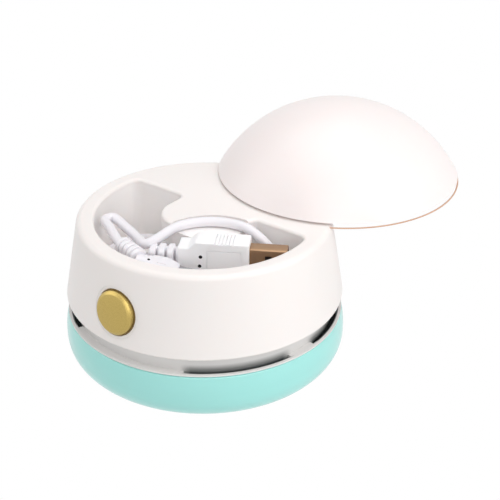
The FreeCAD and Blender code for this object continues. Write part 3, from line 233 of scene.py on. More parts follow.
def housing():
    """The inner housing, with painted shade that darkens its wall and the lip's inner side at the
    air windows.
    """
    m = Nodes("housing_white")
    tint = m.ramp(m.noise(DRIFT_SCALE, detail=1.0),
                  [(0.3, linear(226, 224, 222)), (0.7, linear(232, 230, 228))])
    across, level = m.round_place()
    turn = m.sum("ARCTAN2", m.part("Y"), m.part("X"))
    windows = None
    for first, last in WINDOW_ANGLES:
        middle = math.radians((first + last) / 2)
        half = math.radians((last - first) / 2)
        off = m.sum("ABSOLUTE", m.sum("SUBTRACT", turn, middle))
        here = m.spread(off, 1.0, 0.0, half - WINDOW_END_BEFORE, half + WINDOW_END_AFTER)
        windows = here if windows is None else m.sum("MAXIMUM", windows, here)
    # Painted shade: the wall's lower part and the lip's inner side at the windows are mixed to a
    # dark grey, for the shade that falls into the openings.
    wall = m.sum("MULTIPLY", m.within(level, WINDOW_SHADE_LEVEL), m.within(across, WALL_REACH))
    lip = m.sum("MULTIPLY", m.beyond(across, LIP_INSIDE), m.within(across, LIP_OUTSIDE))
    window_shade = m.sum("MULTIPLY", windows, m.sum("MAXIMUM", wall, lip))
    m.link(m.mix(window_shade, tint, linear(52, 56, 56)), m.shader.inputs["Base Color"])
    m.bump(m.noise(GRAIN_SCALE, detail=2.0, roughness=0.6), strength=0.25, distance=GRAIN_DEPTH)
    m.set(IOR=1.5, Roughness=0.38)
    return m.material


def gold():
    """Satin gold with a fine speck."""
    m = Nodes("button_gold")
    speck = m.noise(SPECK_SCALE, roughness=0.7)
    tint = m.ramp(speck, [(0.3, linear(172, 148, 82)), (0.7, linear(200, 176, 106))])
    m.link(tint, m.shader.inputs["Base Color"])
    m.link(m.spread(speck, 0.30, 0.44), m.shader.inputs["Roughness"])
    m.bump(speck, strength=0.35, distance=2 * GRAIN_DEPTH)
    m.set(Metallic=0.85)
    return m.material


def shade_ring_material():
    """Painted shade: a dark bronze for the ring in the gap between the gold cap and its collar,
    standing in for the cap's shaded side.
    """
    m = Nodes("shade_ring_bronze")
    tint = m.ramp(m.noise(900.0), [(0.35, linear(112, 88, 46)), (0.65, linear(136, 110, 62))])
    m.link(tint, m.shader.inputs["Base Color"])
    m.bump(m.noise(3000.0), strength=0.2, distance=GRAIN_DEPTH)
    m.set(Roughness=0.5)
    return m.material


def metal(name, pale, deep, rough, stretch=(1, 1, 1), scale=700.0):
    """Metal brushed along the axes that stretch leaves small."""
    m = Nodes(name)
    brushed = m.noise(scale, detail=4.0, roughness=0.6, stretch=stretch)
    m.link(m.ramp(brushed, [(0.3, deep), (0.7, pale)]), m.shader.inputs["Base Color"])
    m.link(m.spread(brushed, rough - 0.06, rough + 0.1), m.shader.inputs["Roughness"])
    m.bump(brushed, strength=0.15, distance=GRAIN_DEPTH)
    m.set(Metallic=1.0)
    return m.material


def foam():
    """The dark open foam behind the air windows."""
    m = Nodes("exhaust_foam")
    cells = m.node("ShaderNodeTexVoronoi", feature="DISTANCE_TO_EDGE")
    cells.inputs["Scale"].default_value = FOAM_SCALE
    m.link(m.place, cells.inputs["Vector"])
    edges = cells.outputs["Distance"]
    tint = m.ramp(edges, [(0.02, linear(46, 52, 52)), (0.22, linear(12, 14, 15))])
    m.link(tint, m.shader.inputs["Base Color"])
    m.bump(edges, strength=0.8, distance=0.2 * MM)
    m.set(Roughness=0.9)
    return m.material


def woven(name, thread, gap, pitch):
    """Threads along X and Y, a pitch apart."""
    m = Nodes(name)
    waves = []
    for axis in ("X", "Y"):
        wave = m.node("ShaderNodeTexWave", wave_type="BANDS", bands_direction=axis)
        wave.inputs["Scale"].default_value = 1 / (2 * pitch)
        m.link(m.place, wave.inputs["Vector"])
        waves.append(wave.outputs["Fac"])
    both = m.sum("MAXIMUM", *waves)
    m.link(m.ramp(both, [(0.55, gap), (0.75, thread)]), m.shader.inputs["Base Color"])
    m.bump(both, strength=0.7, distance=0.2 * MM)
    m.set(Roughness=0.7)
    return m.material


# The shell's paler white inside the pocket is painted light.
white_shell = moulded("shell_white", linear(245, 239, 236), linear(242, 236, 233), rough=0.36,
                      subsurface=0.12, inside=linear(252, 248, 246))
lid_white = moulded("lid_white", linear(248, 239, 237), linear(246, 236, 234), rough=0.34,
                    subsurface=0.12)
white_inner = moulded("inner_white", linear(240, 237, 235), linear(234, 231, 229), rough=0.45)
teal_bowl = moulded("bowl_teal", linear(163, 229, 223), linear(159, 226, 220), rough=0.33, coat=0.5,
                    subsurface=0.1)
cable_white = moulded("cable_white", linear(240, 237, 241), linear(235, 232, 236), rough=0.40,
                      grain=CABLE_GRAIN_SCALE, subsurface=0.1)
# Painted light: the USB plug's white is paler than the cable's, standing in for light on its shaded
# face in the pocket.
plug_white = moulded("plug_white", linear(253, 252, 253), linear(250, 249, 250), rough=0.34,
                     grain=CABLE_GRAIN_SCALE, subsurface=0.1)
housing_white = housing()
button_gold = gold()
shade_ring_bronze = shade_ring_material()
plug_metal = metal("plug_metal", linear(158, 128, 101), linear(150, 121, 94), rough=0.36,
                   stretch=(1, 1, 12), scale=1600.0)
screw_steel = metal("screw_steel", linear(190, 190, 192), linear(160, 160, 164), rough=0.32)
copper_winding = metal("copper_winding", linear(206, 128, 78), linear(160, 90, 50), rough=0.35,
                       stretch=(1, 1, 60))
foam_dark = foam()
mesh_grey = woven("filter_weave", linear(216, 216, 214), linear(120, 122, 124), pitch=0.8 * MM)
foot_grey = moulded("foot_rubber", linear(208, 210, 212), linear(196, 198, 201), rough=0.7,
                    grain=1800.0, grain_depth=3 * GRAIN_DEPTH)
bristle_white = moulded("bristle_white", linear(228, 228, 226), linear(206, 206, 205), rough=0.6)
magnet_grey = moulded("magnet_grey", linear(70, 70, 74), linear(54, 54, 58), rough=0.5)
board_green = moulded("board_green", linear(34, 104, 62), linear(28, 92, 54), rough=0.35)
cell_blue = moulded("cell_wrap", linear(64, 126, 196), linear(56, 114, 184), rough=0.28)
# Painted shade: the warm tan of the thin ring under the lid's rim.
rim_shade_tan = moulded("rim_shade_tan", linear(214, 172, 144), linear(204, 160, 132), rough=0.5)
hole_dark = moulded("hole_dark", linear(26, 25, 25), linear(20, 19, 19), rough=0.6)
chip_black = moulded("chip_black", linear(32, 32, 34), linear(26, 26, 28), rough=0.4)
tongue_dark = moulded("tongue_dark", linear(58, 44, 38), linear(48, 36, 32), rough=0.45)
lead_red = moulded("lead_red", linear(190, 40, 34), linear(176, 34, 30), rough=0.4)

MATERIALS = {
    "base_bowl": teal_bowl, "foot_ring": foot_grey, "nozzle_ring": white_inner,
    "brush_ring": bristle_white, "lower_housing": housing_white, "fan_shroud": white_inner,
    "shroud_screws": screw_steel, "exhaust_filter": foam_dark, "filter_frame": white_inner,
    "filter_mesh": mesh_grey, "impeller": white_inner, "motor_shaft": screw_steel,
    "motor_armature": copper_winding, "motor_can": screw_steel, "motor_magnets": magnet_grey,
    "motor_end_cap": chip_black, "motor_terminals": plug_metal, "motor_screws": screw_steel,
    "body_shell": white_shell, "housing_screws": screw_steel, "button_cap": button_gold,
    "button_bezel": shade_ring_bronze, "switch_plunger": chip_black, "push_switch": chip_black,
    "switch_board": board_green, "lid_dome": lid_white, "pivot_screw": screw_steel,
    "pivot_bush": plug_metal, "pivot_washer": screw_steel, "battery_cell": cell_blue,
    "battery_cradle": white_inner, "battery_tabs": screw_steel, "control_board": board_green,
    "charge_chip": chip_black, "charge_socket": screw_steel, "usb_plug_body": cable_white,
    "usb_relief": cable_white, "usb_plug_shell": plug_metal, "usb_plug_tongue": tongue_dark,
    "device_relief": cable_white, "device_plug_body": cable_white,
    "device_plug_tip": screw_steel, "charging_cord": cable_white, "motor_leads": lead_red,
    "battery_leads": lead_red, "switch_leads": lead_red,
}
for node_name, node_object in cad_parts.items():
    for slot in node_object.material_slots:
        slot.material = MATERIALS[node_name]


def placed(name, data):
    """An object in the scene for a new mesh or curve."""
    piece = bpy.data.objects.new(name, data)
    bpy.context.scene.collection.objects.link(piece)
    return piece


def mesh_piece(name, build, material):
    """An object from a finished closed mesh, its faces turned outwards."""
    bmesh.ops.recalc_face_normals(build, faces=build.faces)
    data = bpy.data.meshes.new(name)
    build.to_mesh(data)
    build.free()
    if material:
        data.materials.append(material)
    return placed(name, data)


def curve_piece(name, route, diameter, material):
    """A round flexible lead on one smooth NURBS line."""
    data = bpy.data.curves.new(name, "CURVE")
    data.dimensions = "3D"
    spline = data.splines.new("NURBS")
    spline.points.add(len(route) - 1)
    for point, place in zip(spline.points, route):
        point.co = (place[0] * MM, place[1] * MM, place[2] * MM, 1.0)
    spline.order_u = 3
    spline.use_endpoint_u = True
    spline.resolution_u = 16
    data.bevel_depth = diameter / 2 * MM
    data.bevel_resolution = 8
    data.use_fill_caps = True
    data.materials.append(material)
    return placed(name, data)


def smooth(piece, angle):
    """Smooth shading, apart from edges sharper than an angle in degrees."""
    for polygon in piece.data.polygons:
        polygon.use_smooth = True
    piece.data.set_sharp_from_angle(angle=math.radians(angle))


def finished(piece):
    """Put the result of a piece's modifiers into its mesh."""
    graph = bpy.context.evaluated_depsgraph_get()
    mesh = bpy.data.meshes.new_from_object(piece.evaluated_get(graph))
    piece.modifiers.clear()
    piece.data = mesh
    return piece


def softened(piece, width, segments, angle=20.0):
    """Round a piece's edges that turn by more than an angle in degrees."""
    modifier = piece.modifiers.new("soft_edges", "BEVEL")
    modifier.width = width * MM
    modifier.segments = segments
    modifier.limit_method = "ANGLE"
    modifier.angle_limit = math.radians(angle)
    return finished(piece)


def carve(piece, build, inside=None):
    """Cut closed meshes out of a piece. The cut's faces take the inside material, if given."""
    cutter = mesh_piece("cutter", build, inside)
    modifier = piece.modifiers.new("carve", "BOOLEAN")
    modifier.material_mode = "TRANSFER" if inside else "INDEX"
    modifier.operation = "DIFFERENCE"
    modifier.solver = "EXACT"
    modifier.use_self = True
    modifier.object = cutter
    finished(piece)
    bpy.data.objects.remove(cutter)


def add_box(build, low, high):
    """A closed box between two corners."""
    corners = [build.verts.new((x * MM, y * MM, z * MM))
               for z in (low[2], high[2]) for y in (low[1], high[1]) for x in (low[0], high[0])]
    for face in ((0, 2, 3, 1), (4, 5, 7, 6), (0, 1, 5, 4), (2, 6, 7, 3), (0, 4, 6, 2),
                 (1, 3, 7, 5)):
        build.faces.new([corners[number] for number in face])


def add_pin(build, centre, radius, length, turn, sides):
    """A short closed cylinder about a centre, turned from Z by a matrix."""
    bmesh.ops.create_cone(build, cap_ends=True, segments=sides, radius1=radius * MM,
                          radius2=radius * MM, depth=length * MM,
                          matrix=Matrix.Translation(Vector(centre) * MM) @ turn)


def add_skin(build, rings, closed=False):
    """Faces from ring to ring, and on both ends or from the last ring to the first."""
    pairs = list(zip(rings, rings[1:]))
    if closed:
        pairs.append((rings[-1], rings[0]))
    for first, second in pairs:
        for step in range(len(first)):
            after = (step + 1) % len(first)
            build.faces.new((first[step], first[after], second[after], second[step]))
    if not closed:
        build.faces.new(rings[0][::-1])
        build.faces.new(rings[-1])


def rounded_section(half_across, half_upright, squareness, count):
    """Points of a superellipse, which is an ellipse at squareness 2 and squarer above."""
    points = []
    for step in range(count):
        angle = FULL_TURN * step / count
        size = (abs(math.cos(angle) / half_across) ** squareness
                + abs(math.sin(angle) / half_upright) ** squareness) ** (-1 / squareness)
        points.append((size * math.cos(angle), size * math.sin(angle)))
    return points


def dressed(piece, frame_matrix, body, slot, *nodes_replaced):
    """Put a piece from its own directions to its place on a body, in the place of CAD nodes."""
    piece.data.transform(frame_matrix)
    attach(piece, body)
    if nodes_replaced:
        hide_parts(*nodes_replaced)
    return piece


# The USB plug's directions: along its axis, across to its back side, and up.
PLUG_HEADING = math.radians(30.0)
PLUG_DISTANCE = 16.45
PLUG_LEVEL = 40.85
PLUG_FRAME = (Matrix.Translation(Vector((PLUG_DISTANCE * math.sin(PLUG_HEADING),
                                         -PLUG_DISTANCE * math.cos(PLUG_HEADING),
                                         PLUG_LEVEL)) * MM)
              @ Matrix.Rotation(PLUG_HEADING, 4, "Z"))
PLUG_START, NECK_END, MAIN_START, PLUG_END = -5.1, -1.9, 0.2, 16.05
NECK_HALF, PLUG_HALF, PLUG_THICK = 5.8, 7.9, 7.2
PLUG_ROUND = 0.45
# A cutter reaches this far past the face that it cuts.
OVERRUN = 1.0

# The grip grooves over the plug's two narrow sides.
GROOVES, GROOVE_START, GROOVE_PITCH = 6, 5.9, 1.05
GROOVE_WIDTH, GROOVE_DEPTH, GROOVE_STOP = 0.36, 0.5, 1.1
# The line of the sunk panel on its wide side, with a little left standing at the corners.
PANEL_START, PANEL_END, PANEL_HALF = 3.5, 13.8, 5.5
PANEL_LINE, PANEL_DEPTH, PANEL_CORNER = 0.25, 0.3, 0.05
# The two dots beside the panel.
DOTS = ((1.75, 3.2), (1.45, 0.15))
DOT_RADIUS, DOT_LENGTH = 0.56, 2.4


def make_plug_body():
    """The USB plug's moulding, with its neck, grooves, panel and dots."""
    half = PLUG_THICK / 2
    outline = [(PLUG_START, -NECK_HALF), (NECK_END, -NECK_HALF), (MAIN_START, -PLUG_HALF),
               (PLUG_END, -PLUG_HALF), (PLUG_END, PLUG_HALF), (MAIN_START, PLUG_HALF),
               (NECK_END, NECK_HALF), (PLUG_START, NECK_HALF)]
    build = bmesh.new()
    add_skin(build, [[build.verts.new((x * MM, side * MM, z * MM)) for x, z in outline]
                     for side in (-half, half)])
    piece = softened(mesh_piece("lead_plug_body", build, plug_white), PLUG_ROUND, segments=4)

    front, floor = -half - OVERRUN, PANEL_DEPTH - half
    build = bmesh.new()
    for number in range(GROOVES):
        start = GROOVE_START + GROOVE_PITCH * number
        end = start + GROOVE_WIDTH
        add_box(build, (start, front, PLUG_HALF - GROOVE_DEPTH),
                (end, half - GROOVE_STOP, PLUG_HALF + OVERRUN))
        add_box(build, (start, front, -PLUG_HALF - OVERRUN),
                (end, half - GROOVE_STOP, GROOVE_DEPTH - PLUG_HALF))
    for low in (PANEL_HALF - PANEL_LINE, -PANEL_HALF):
        add_box(build, (PANEL_START, front, low), (PANEL_END, floor, low + PANEL_LINE))
    upright = PANEL_HALF - PANEL_LINE - PANEL_CORNER
    for start in (PANEL_START, PANEL_END - PANEL_LINE):
        add_box(build, (start, front, -upright), (start + PANEL_LINE, floor, upright))
    carve(piece, build)

    build = bmesh.new()
    for x, z in DOTS:
        add_pin(build, (x, -half, z), DOT_RADIUS, DOT_LENGTH,
                turn=Matrix.Rotation(math.pi / 2, 4, "X"), sides=24)
    carve(piece, build, hole_dark)
    smooth(piece, angle=28.0)
    return dressed(piece, PLUG_FRAME, "housing", "cord_white", "usb_plug_body")


# The USB plug's metal shell, along the plug's axis, with its hollow and its latch windows.
SHELL_START, SHELL_END, SHELL_HALF, SHELL_THICK = 15.0, 27.3, 6.0, 4.5
SHELL_WALL, SHELL_HOLLOW_START = 0.3, 17.0
LATCH_START, LATCH_END, LATCH_WIDTH, LATCH_DEPTH = 20.6, 22.6, 2.1, 0.6
LATCH_LOWS = (-4.0, 1.9)


def make_plug_shell():
    """The USB plug's folded metal shell, open at its end, with its latch windows."""
    half = SHELL_THICK / 2
    build = bmesh.new()
    add_box(build, (SHELL_START, -half, -SHELL_HALF), (SHELL_END, half, SHELL_HALF))
    piece = softened(mesh_piece("lead_plug_shell", build, plug_metal), PLUG_ROUND, segments=4)
    build = bmesh.new()
    add_box(build, (SHELL_HOLLOW_START, SHELL_WALL - half, SHELL_WALL - SHELL_HALF),
            (SHELL_END + OVERRUN, half - SHELL_WALL, SHELL_HALF - SHELL_WALL))
    for low in LATCH_LOWS:
        high = low + LATCH_WIDTH
        add_box(build, (LATCH_START, -half - OVERRUN, low), (LATCH_END, LATCH_DEPTH - half, high))
        add_box(build, (LATCH_START, half - LATCH_DEPTH, low), (LATCH_END, half + OVERRUN, high))
    carve(piece, build)
    smooth(piece, angle=28.0)
    return dressed(piece, PLUG_FRAME, "housing", "plug_metal", "usb_plug_shell")


def rise(value, low, high):
    """0 below low, 1 above high, and a smooth step between them."""
    share = min(1.0, max(0.0, (value - low) / (high - low)))
    return share * share * (3 - 2 * share)


def bezier(points, share):
    """The place on a Bezier curve at a share of its parameter."""
    while len(points) > 1:
        points = [first.lerp(second, share) for first, second in zip(points, points[1:])]
    return points[0]


# The strain reliefs: how soft a slot's sides are, each ring's rounding, and the thinner free end.
SLOT_SIDE = 0.12
RING_ROUND, RING_ROUND_REACH = 0.22, 0.4
RELIEF_TAPER = 0.3
RELIEF_SIDES, RELIEF_ROWS = 96, 220


def make_relief(name, node, path, across, upright, squareness, rings, ring_length, slot, notch):
    """A strain relief along a Bezier path: rounded rings, with deep slots in its two sides."""
    control = [Vector(point) for point in path]
    places = [bezier(control, row / RELIEF_ROWS) for row in range(RELIEF_ROWS + 1)]
    travelled = [0.0]
    for first, second in zip(places, places[1:]):
        travelled.append(travelled[-1] + (second - first).length)
    length = travelled[-1]
    pitch = (length - ring_length) / (rings - 1)
    build = bmesh.new()
    loops = []
    for row, place in enumerate(places):
        ahead = (places[min(RELIEF_ROWS, row + 1)] - places[max(0, row - 1)]).normalized()
        side = Vector((0, 0, 1)).cross(ahead).normalized()
        above = ahead.cross(side)
        distance = travelled[row]
        inside = distance - pitch * min(rings - 1, int(distance / pitch))
        gap = (rise(inside, ring_length - SLOT_SIDE, ring_length)
               - rise(inside, pitch - SLOT_SIDE, pitch))
        edge = min(inside, max(0.0, ring_length - inside), length - distance)
        rounding = RING_ROUND * (1 - rise(edge, 0.0, RING_ROUND_REACH)) * (1 - gap)
        less = RELIEF_TAPER * (1 - distance / length) + rounding
        section = rounded_section(across - less - slot * gap, upright - less - notch * gap,
                                  squareness, RELIEF_SIDES)
        loops.append([build.verts.new((place + side * x + above * y) * MM) for x, y in section])
    add_skin(build, loops)
    piece = mesh_piece(name, build, cable_white)
    smooth(piece, angle=50.0)
    return dressed(piece, Matrix(), "housing", "cord_white", node)


# The device plug's directions: along its axis, across, and up.
DEVICE_FRAME = (Matrix.Translation(Vector((0.9, -28.1, 43.4)) * MM)
                @ Matrix.Rotation(math.radians(26.0), 4, "Z")
                @ Matrix.Rotation(math.radians(9.0), 4, "Y"))
# Distance along it, half width, half thickness and squareness of each section.
DEVICE_SECTIONS = (
    (-3.4, 2.0, 2.0, 2.2), (-3.2, 2.35, 2.25, 2.2), (-0.6, 2.5, 2.2, 2.6), (0.4, 2.7, 2.15, 3.0),
    (1.5, 3.3, 2.1, 4.0), (2.1, 3.5, 2.1, 5.0), (5.4, 3.6, 2.1, 5.0), (6.2, 3.55, 2.0, 5.0),
    (7.6, 3.3, 1.65, 4.5), (9.0, 3.0, 1.3, 4.0), (9.3, 2.85, 1.15, 4.0),
)
DEVICE_SIDES = 64
# Opposite corners of the line sunk in its top, and the dot's centre, radius and length.
DEVICE_LINE = ((3.0, -1.7, 1.95), (6.6, -1.35, 3.0))
DEVICE_DOT, DEVICE_DOT_RADIUS, DEVICE_DOT_LENGTH = (0.5, -0.9, 2.2), 0.42, 1.6


def make_device_plug():
    """The device plug's moulding: from a round neck to a flat body that narrows to the sleeve."""
    build = bmesh.new()
    add_skin(build, [[build.verts.new((along * MM, y * MM, z * MM))
                      for y, z in rounded_section(half, thick, squareness, DEVICE_SIDES)]
                     for along, half, thick, squareness in DEVICE_SECTIONS])
    piece = mesh_piece("lead_device_body", build, cable_white)
    build = bmesh.new()
    add_box(build, *DEVICE_LINE)
    carve(piece, build)
    build = bmesh.new()
    add_pin(build, DEVICE_DOT, DEVICE_DOT_RADIUS, DEVICE_DOT_LENGTH, turn=Matrix(), sides=20)
    carve(piece, build, hole_dark)
    smooth(piece, angle=32.0)
    return dressed(piece, DEVICE_FRAME, "housing", "cord_white", "device_plug_body")


# The device plug's sleeve along the plug's axis, and its tongue's two faces.
TIP_START, TIP_END, TIP_HALF, TIP_LOW, TIP_HIGH = 8.5, 13.2, 2.9, -1.5, 0.3
TIP_WALL, TIP_HOLLOW_START = 0.3, 9.2
TONGUE_LOW, TONGUE_HIGH = -0.94, -0.48


def make_device_tip():
    """The device plug's metal sleeve, open at its end above and below its tongue."""
    build = bmesh.new()
    add_box(build, (TIP_START, -TIP_HALF, TIP_LOW), (TIP_END, TIP_HALF, TIP_HIGH))
    piece = softened(mesh_piece("lead_device_tip", build, screw_steel), TIP_WALL, segments=3)
    half = TIP_HALF - TIP_WALL
    build = bmesh.new()
    for low, high in ((TONGUE_HIGH, TIP_HIGH - TIP_WALL), (TIP_LOW + TIP_WALL, TONGUE_LOW)):
        add_box(build, (TIP_HOLLOW_START, -half, low), (TIP_END + OVERRUN, half, high))
    carve(piece, build)
    smooth(piece, angle=28.0)
    return dressed(piece, DEVICE_FRAME, "housing", "plug_metal", "device_plug_tip")


# The lid's painted shade line: how far it lies outside and under the rim, and its half width and
# half height.
RIM_SHADE_OUT, RIM_SHADE_UNDER = 0.06, 0.02
RIM_SHADE_HALF_WIDTH, RIM_SHADE_HALF_HEIGHT = 0.26, 0.2
RIM_SHADE_STEPS, RIM_SHADE_SIDES = 256, 12


def make_lid_rim_shade():
    """A thin warm tan ring round the lid's rim: painted shade for the contact shadow under the rim.
    """
    low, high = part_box("lid_dome")
    middle = (Vector(low) + Vector(high)) / 2
    radius = (high[0] - low[0]) / 2
    build = bmesh.new()
    loops = []
    for step in range(RIM_SHADE_STEPS):
        turn = FULL_TURN * step / RIM_SHADE_STEPS
        loop = []
        for corner in range(RIM_SHADE_SIDES):
            angle = FULL_TURN * corner / RIM_SHADE_SIDES
            reach = radius + (RIM_SHADE_OUT + RIM_SHADE_HALF_WIDTH * math.cos(angle)) * MM
            level = low[2] + (RIM_SHADE_HALF_HEIGHT * math.sin(angle) - RIM_SHADE_UNDER) * MM
            loop.append(build.verts.new((middle.x + reach * math.cos(turn),
                                         middle.y + reach * math.sin(turn), level)))
        loops.append(loop)
    add_skin(build, loops, closed=True)
    piece = mesh_piece("lid_rim_shade", build, rim_shade_tan)
    smooth(piece, angle=60.0)
    dressed(piece, Matrix(), "lid", "white_plastic")


# The button's axis leans with the body's wall. Its origin lies on the wall's face.
WALL_LEAN = math.radians(9.83)
BUTTON_PLACE = Vector((0.0, -41.615, 33.0))
BUTTON_OUT = Vector((0.0, -math.cos(WALL_LEAN), math.sin(WALL_LEAN)))
BUTTON_UP = Vector((0.0, math.sin(WALL_LEAN), math.cos(WALL_LEAN)))
BUTTON_STEPS = 128
WALL_TRIES = 6
# Radius and height over the wall at each corner of the button's turned pieces.
CAP_PROFILE = ((0.4, 1.4), (5.62, 1.4), (5.74, 1.36), (6.46, 0.78), (6.62, 0.6), (6.66, 0.4),
               (6.66, -2.0), (7.6, -2.0), (7.6, -2.6), (0.4, -2.6))
COLLAR_PROFILE = ((7.1, -1.8), (7.1, -0.14), (7.2, -0.02), (7.9, 0.0), (7.97, -0.06), (7.97, -1.8))
# Painted shade: the dark ring between cap and collar.
SHADE_RING_PROFILE = ((6.72, -1.7), (6.72, -0.12), (6.78, -0.02), (7.02, 0.0), (7.06, -0.08),
                  (7.06, -1.7))


def straight_out(reach, turn, out):
    """A point round the button's axis, at a height over its flat base plane."""
    across = Vector((reach * math.cos(turn), 0, 0))
    return BUTTON_PLACE + across + BUTTON_UP * reach * math.sin(turn) + BUTTON_OUT * out


def on_wall(reach, turn, out):
    """A point round the button's axis, at a height over the curved and sloping wall."""
    lift = 0.0
    for _ in range(WALL_TRIES):
        point = straight_out(reach, turn, lift)
        wall = -BUTTON_PLACE.y - (point.z - BUTTON_PLACE.z) * math.tan(WALL_LEAN)
        lift += wall - math.hypot(point.x, point.y)
    return straight_out(reach, turn, lift + out)


def turned(name, profile, material, place, closed):
    """A piece turned round the button's axis, with each profile corner put by a place function."""
    build = bmesh.new()
    add_skin(build, [[build.verts.new(place(reach, FULL_TURN * step / BUTTON_STEPS, out) * MM)
                      for step in range(BUTTON_STEPS)] for reach, out in profile], closed)
    piece = mesh_piece(name, build, material)
    smooth(piece, angle=24.0)
    return piece


def make_button():
    """The gold cap with its cut edge, the white collar in the wall and, between them, a dark ring
    of painted shade.
    """
    cap = turned("button_gold_cap", CAP_PROFILE, button_gold, straight_out, False)
    dressed(cap, Matrix(), "button", "gold_button", "button_cap")
    collar = turned("button_collar", COLLAR_PROFILE, white_shell, on_wall, True)
    dressed(collar, Matrix(), "housing", "white_plastic", "button_bezel")
    # Painted shade: a dark ring in the gap between cap and collar stands for the cap's shaded side.
    sleeve = turned("button_sleeve", SHADE_RING_PROFILE, shade_ring_bronze, on_wall, True)
    dressed(sleeve, Matrix(), "housing", "dark_plastic")


# The reliefs' paths: along the USB plug's axis, and in a gentle bend to the device plug.
PLUG_RELIEF_ENDS = (-13.9, -3.7)
PLUG_RELIEF_PATH = [PLUG_FRAME @ Vector((along * MM, 0, 0)) / MM for along in PLUG_RELIEF_ENDS]
DEVICE_RELIEF_PATH = [(-10.0, -26.9, 45.8), (-7.2, -27.7, 45.6), (-4.4, -27.9, 45.2),
                      (-1.8, -28.6, 44.6)]


def make_plugs():
    """The charging lead's two plugs with their reliefs."""
    return [
        make_plug_body(),
        make_plug_shell(),
        make_relief("lead_plug_relief", "usb_relief", PLUG_RELIEF_PATH, across=3.3, upright=4.3,
                    squareness=5.0, rings=4, ring_length=2.05, slot=2.5, notch=0.1),
        make_relief("lead_device_relief", "device_relief", DEVICE_RELIEF_PATH, across=2.7,
                    upright=2.7, squareness=2.4, rings=5, ring_length=1.5, slot=1.3, notch=1.0),
        make_device_plug(),
        make_device_tip(),
    ]


def make_cable():
    """The charging lead's cable between the two plugs."""
    cable = curve_piece("lead_cable", CORD_ROUTE, CORD_DIAMETER, cable_white)
    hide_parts("charging_cord")
    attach(cable, "housing")


def seen_rays(tree):
    """1 for the rays that show the backdrop: from the camera, and through or off a glossy piece."""
    path = tree.nodes.new("ShaderNodeLightPath")
    share = path.outputs["Is Camera Ray"]
    for ray in ("Is Glossy Ray", "Is Transmission Ray"):
        either = tree.nodes.new("ShaderNodeMath")
        either.operation = "MAXIMUM"
        tree.links.new(share, either.inputs[0])
        tree.links.new(path.outputs[ray], either.inputs[1])
        share = either.outputs["Value"]
    return share


FLOOR_HALF = 3.0
FLOOR_UNDER = 0.2
FLOOR_GREY = (0.82, 0.82, 0.82, 1.0)
BACKDROP_WHITE = (1.0, 1.0, 1.0, 1.0)
SKY, SKY_STRENGTH = (0.98, 0.985, 1.0, 1.0), 0.19


def stage_floor():
    """A pale floor that shows as the photograph's white and keeps the object's shadow."""
    build = bmesh.new()
    bmesh.ops.create_grid(build, x_segments=1, y_segments=1, size=FLOOR_HALF)
    data = bpy.data.meshes.new("floor")
    build.to_mesh(data)
    build.free()
    floor = placed("floor", data)
    floor.location.z = -FLOOR_UNDER * MM
    m = Nodes("floor_pale")
    m.set(Roughness=0.9, Base_Color=FLOOR_GREY)
    glow = m.node("ShaderNodeEmission")
    glow.inputs["Color"].default_value = BACKDROP_WHITE
    mix = m.node("ShaderNodeMixShader")
    m.link(seen_rays(m.tree), mix.inputs["Fac"])
    m.link(m.shader.outputs["BSDF"], mix.inputs[1])
    m.link(glow.outputs["Emission"], mix.inputs[2])
    m.link(mix.outputs["Shader"], m.output.inputs["Surface"])
    data.materials.append(m.material)


def studio_world():
    """A dim even sky for the light, and plain white for the rays that show it."""
    world = bpy.data.worlds.new("studio")
    bpy.context.scene.world = world
    world.use_nodes = True
    tree = world.node_tree
    backdrop = tree.nodes["Background"]
    backdrop.inputs["Color"].default_value = SKY
    backdrop.inputs["Strength"].default_value = SKY_STRENGTH
    white = tree.nodes.new("ShaderNodeBackground")
    white.inputs["Color"].default_value = BACKDROP_WHITE
    mix = tree.nodes.new("ShaderNodeMixShader")
    tree.links.new(seen_rays(tree), mix.inputs["Fac"])
    tree.links.new(backdrop.outputs["Background"], mix.inputs[1])
    tree.links.new(white.outputs["Background"], mix.inputs[2])
    tree.links.new(mix.outputs["Shader"], tree.nodes["World Output"].inputs["Surface"])


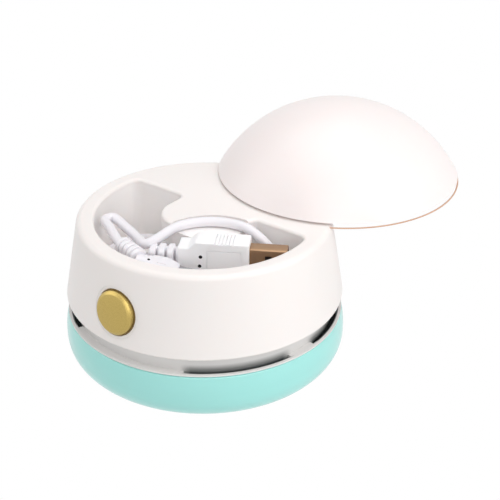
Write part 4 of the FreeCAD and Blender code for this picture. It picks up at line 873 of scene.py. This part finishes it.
# Name, place and size in metres, and power in watts. All lamps look at the body's middle.
LAMP_AIM = Vector((0.0, 0.01, 0.03))
LAMPS = (
    ("key", (0.55, 0.10, 0.62), (0.5, 0.5), 2.3),
    ("top", (-0.15, 0.15, 0.80), (0.7, 0.7), 2.35),
    ("beside", (0.47, -0.59, 0.50), (0.6, 0.6), 1.95),
    ("fill", (-0.55, -0.35, 0.40), (0.6, 0.5), 1.3),
    ("side", (0.66, 0.12, 0.14), (0.5, 0.25), 0.8),
    ("high", (0.30, -0.40, 0.75), (0.6, 0.6), 0.85),
)


def softbox(name, place, size, power):
    data = bpy.data.lights.new(name, "AREA")
    data.shape = "RECTANGLE"
    data.size, data.size_y = size
    data.energy = power
    light = placed(name, data)
    light.location = place
    light.rotation_euler = (LAMP_AIM - Vector(place)).to_track_quat("-Z", "Y").to_euler()


CAMERA_PLACE = Vector((0.2083, -0.2590, 0.2167))
CAMERA_LOOK = Vector((-0.521, 0.707, -0.479)).normalized()
CAMERA_ROLL = math.radians(0.45)
CAMERA_LENS, CAMERA_SENSOR = 87.5, 36.0
CAMERA_CLIP = (0.01, 20.0)


def photo_camera():
    """The photograph's camera, rolled a little to the right."""
    data = bpy.data.cameras.new("photo_camera")
    data.lens = CAMERA_LENS
    data.sensor_width = CAMERA_SENSOR
    data.clip_start, data.clip_end = CAMERA_CLIP
    camera = placed("photo_camera", data)
    across = CAMERA_LOOK.cross(Vector((0, 0, 1))).normalized()
    up = across.cross(CAMERA_LOOK).normalized()
    right = across * math.cos(CAMERA_ROLL) + up * math.sin(CAMERA_ROLL)
    above = up * math.cos(CAMERA_ROLL) - across * math.sin(CAMERA_ROLL)
    turn = Matrix((right, above, -CAMERA_LOOK)).transposed().to_4x4()
    camera.matrix_world = Matrix.Translation(CAMERA_PLACE) @ turn
    bpy.context.scene.camera = camera


make_button()
lead_plugs = make_plugs()
make_lid_rim_shade()
make_cable()
stage_floor()
studio_world()
for lamp in LAMPS:
    softbox(*lamp)
photo_camera()
bpy.context.scene.view_settings.view_transform = "Standard"
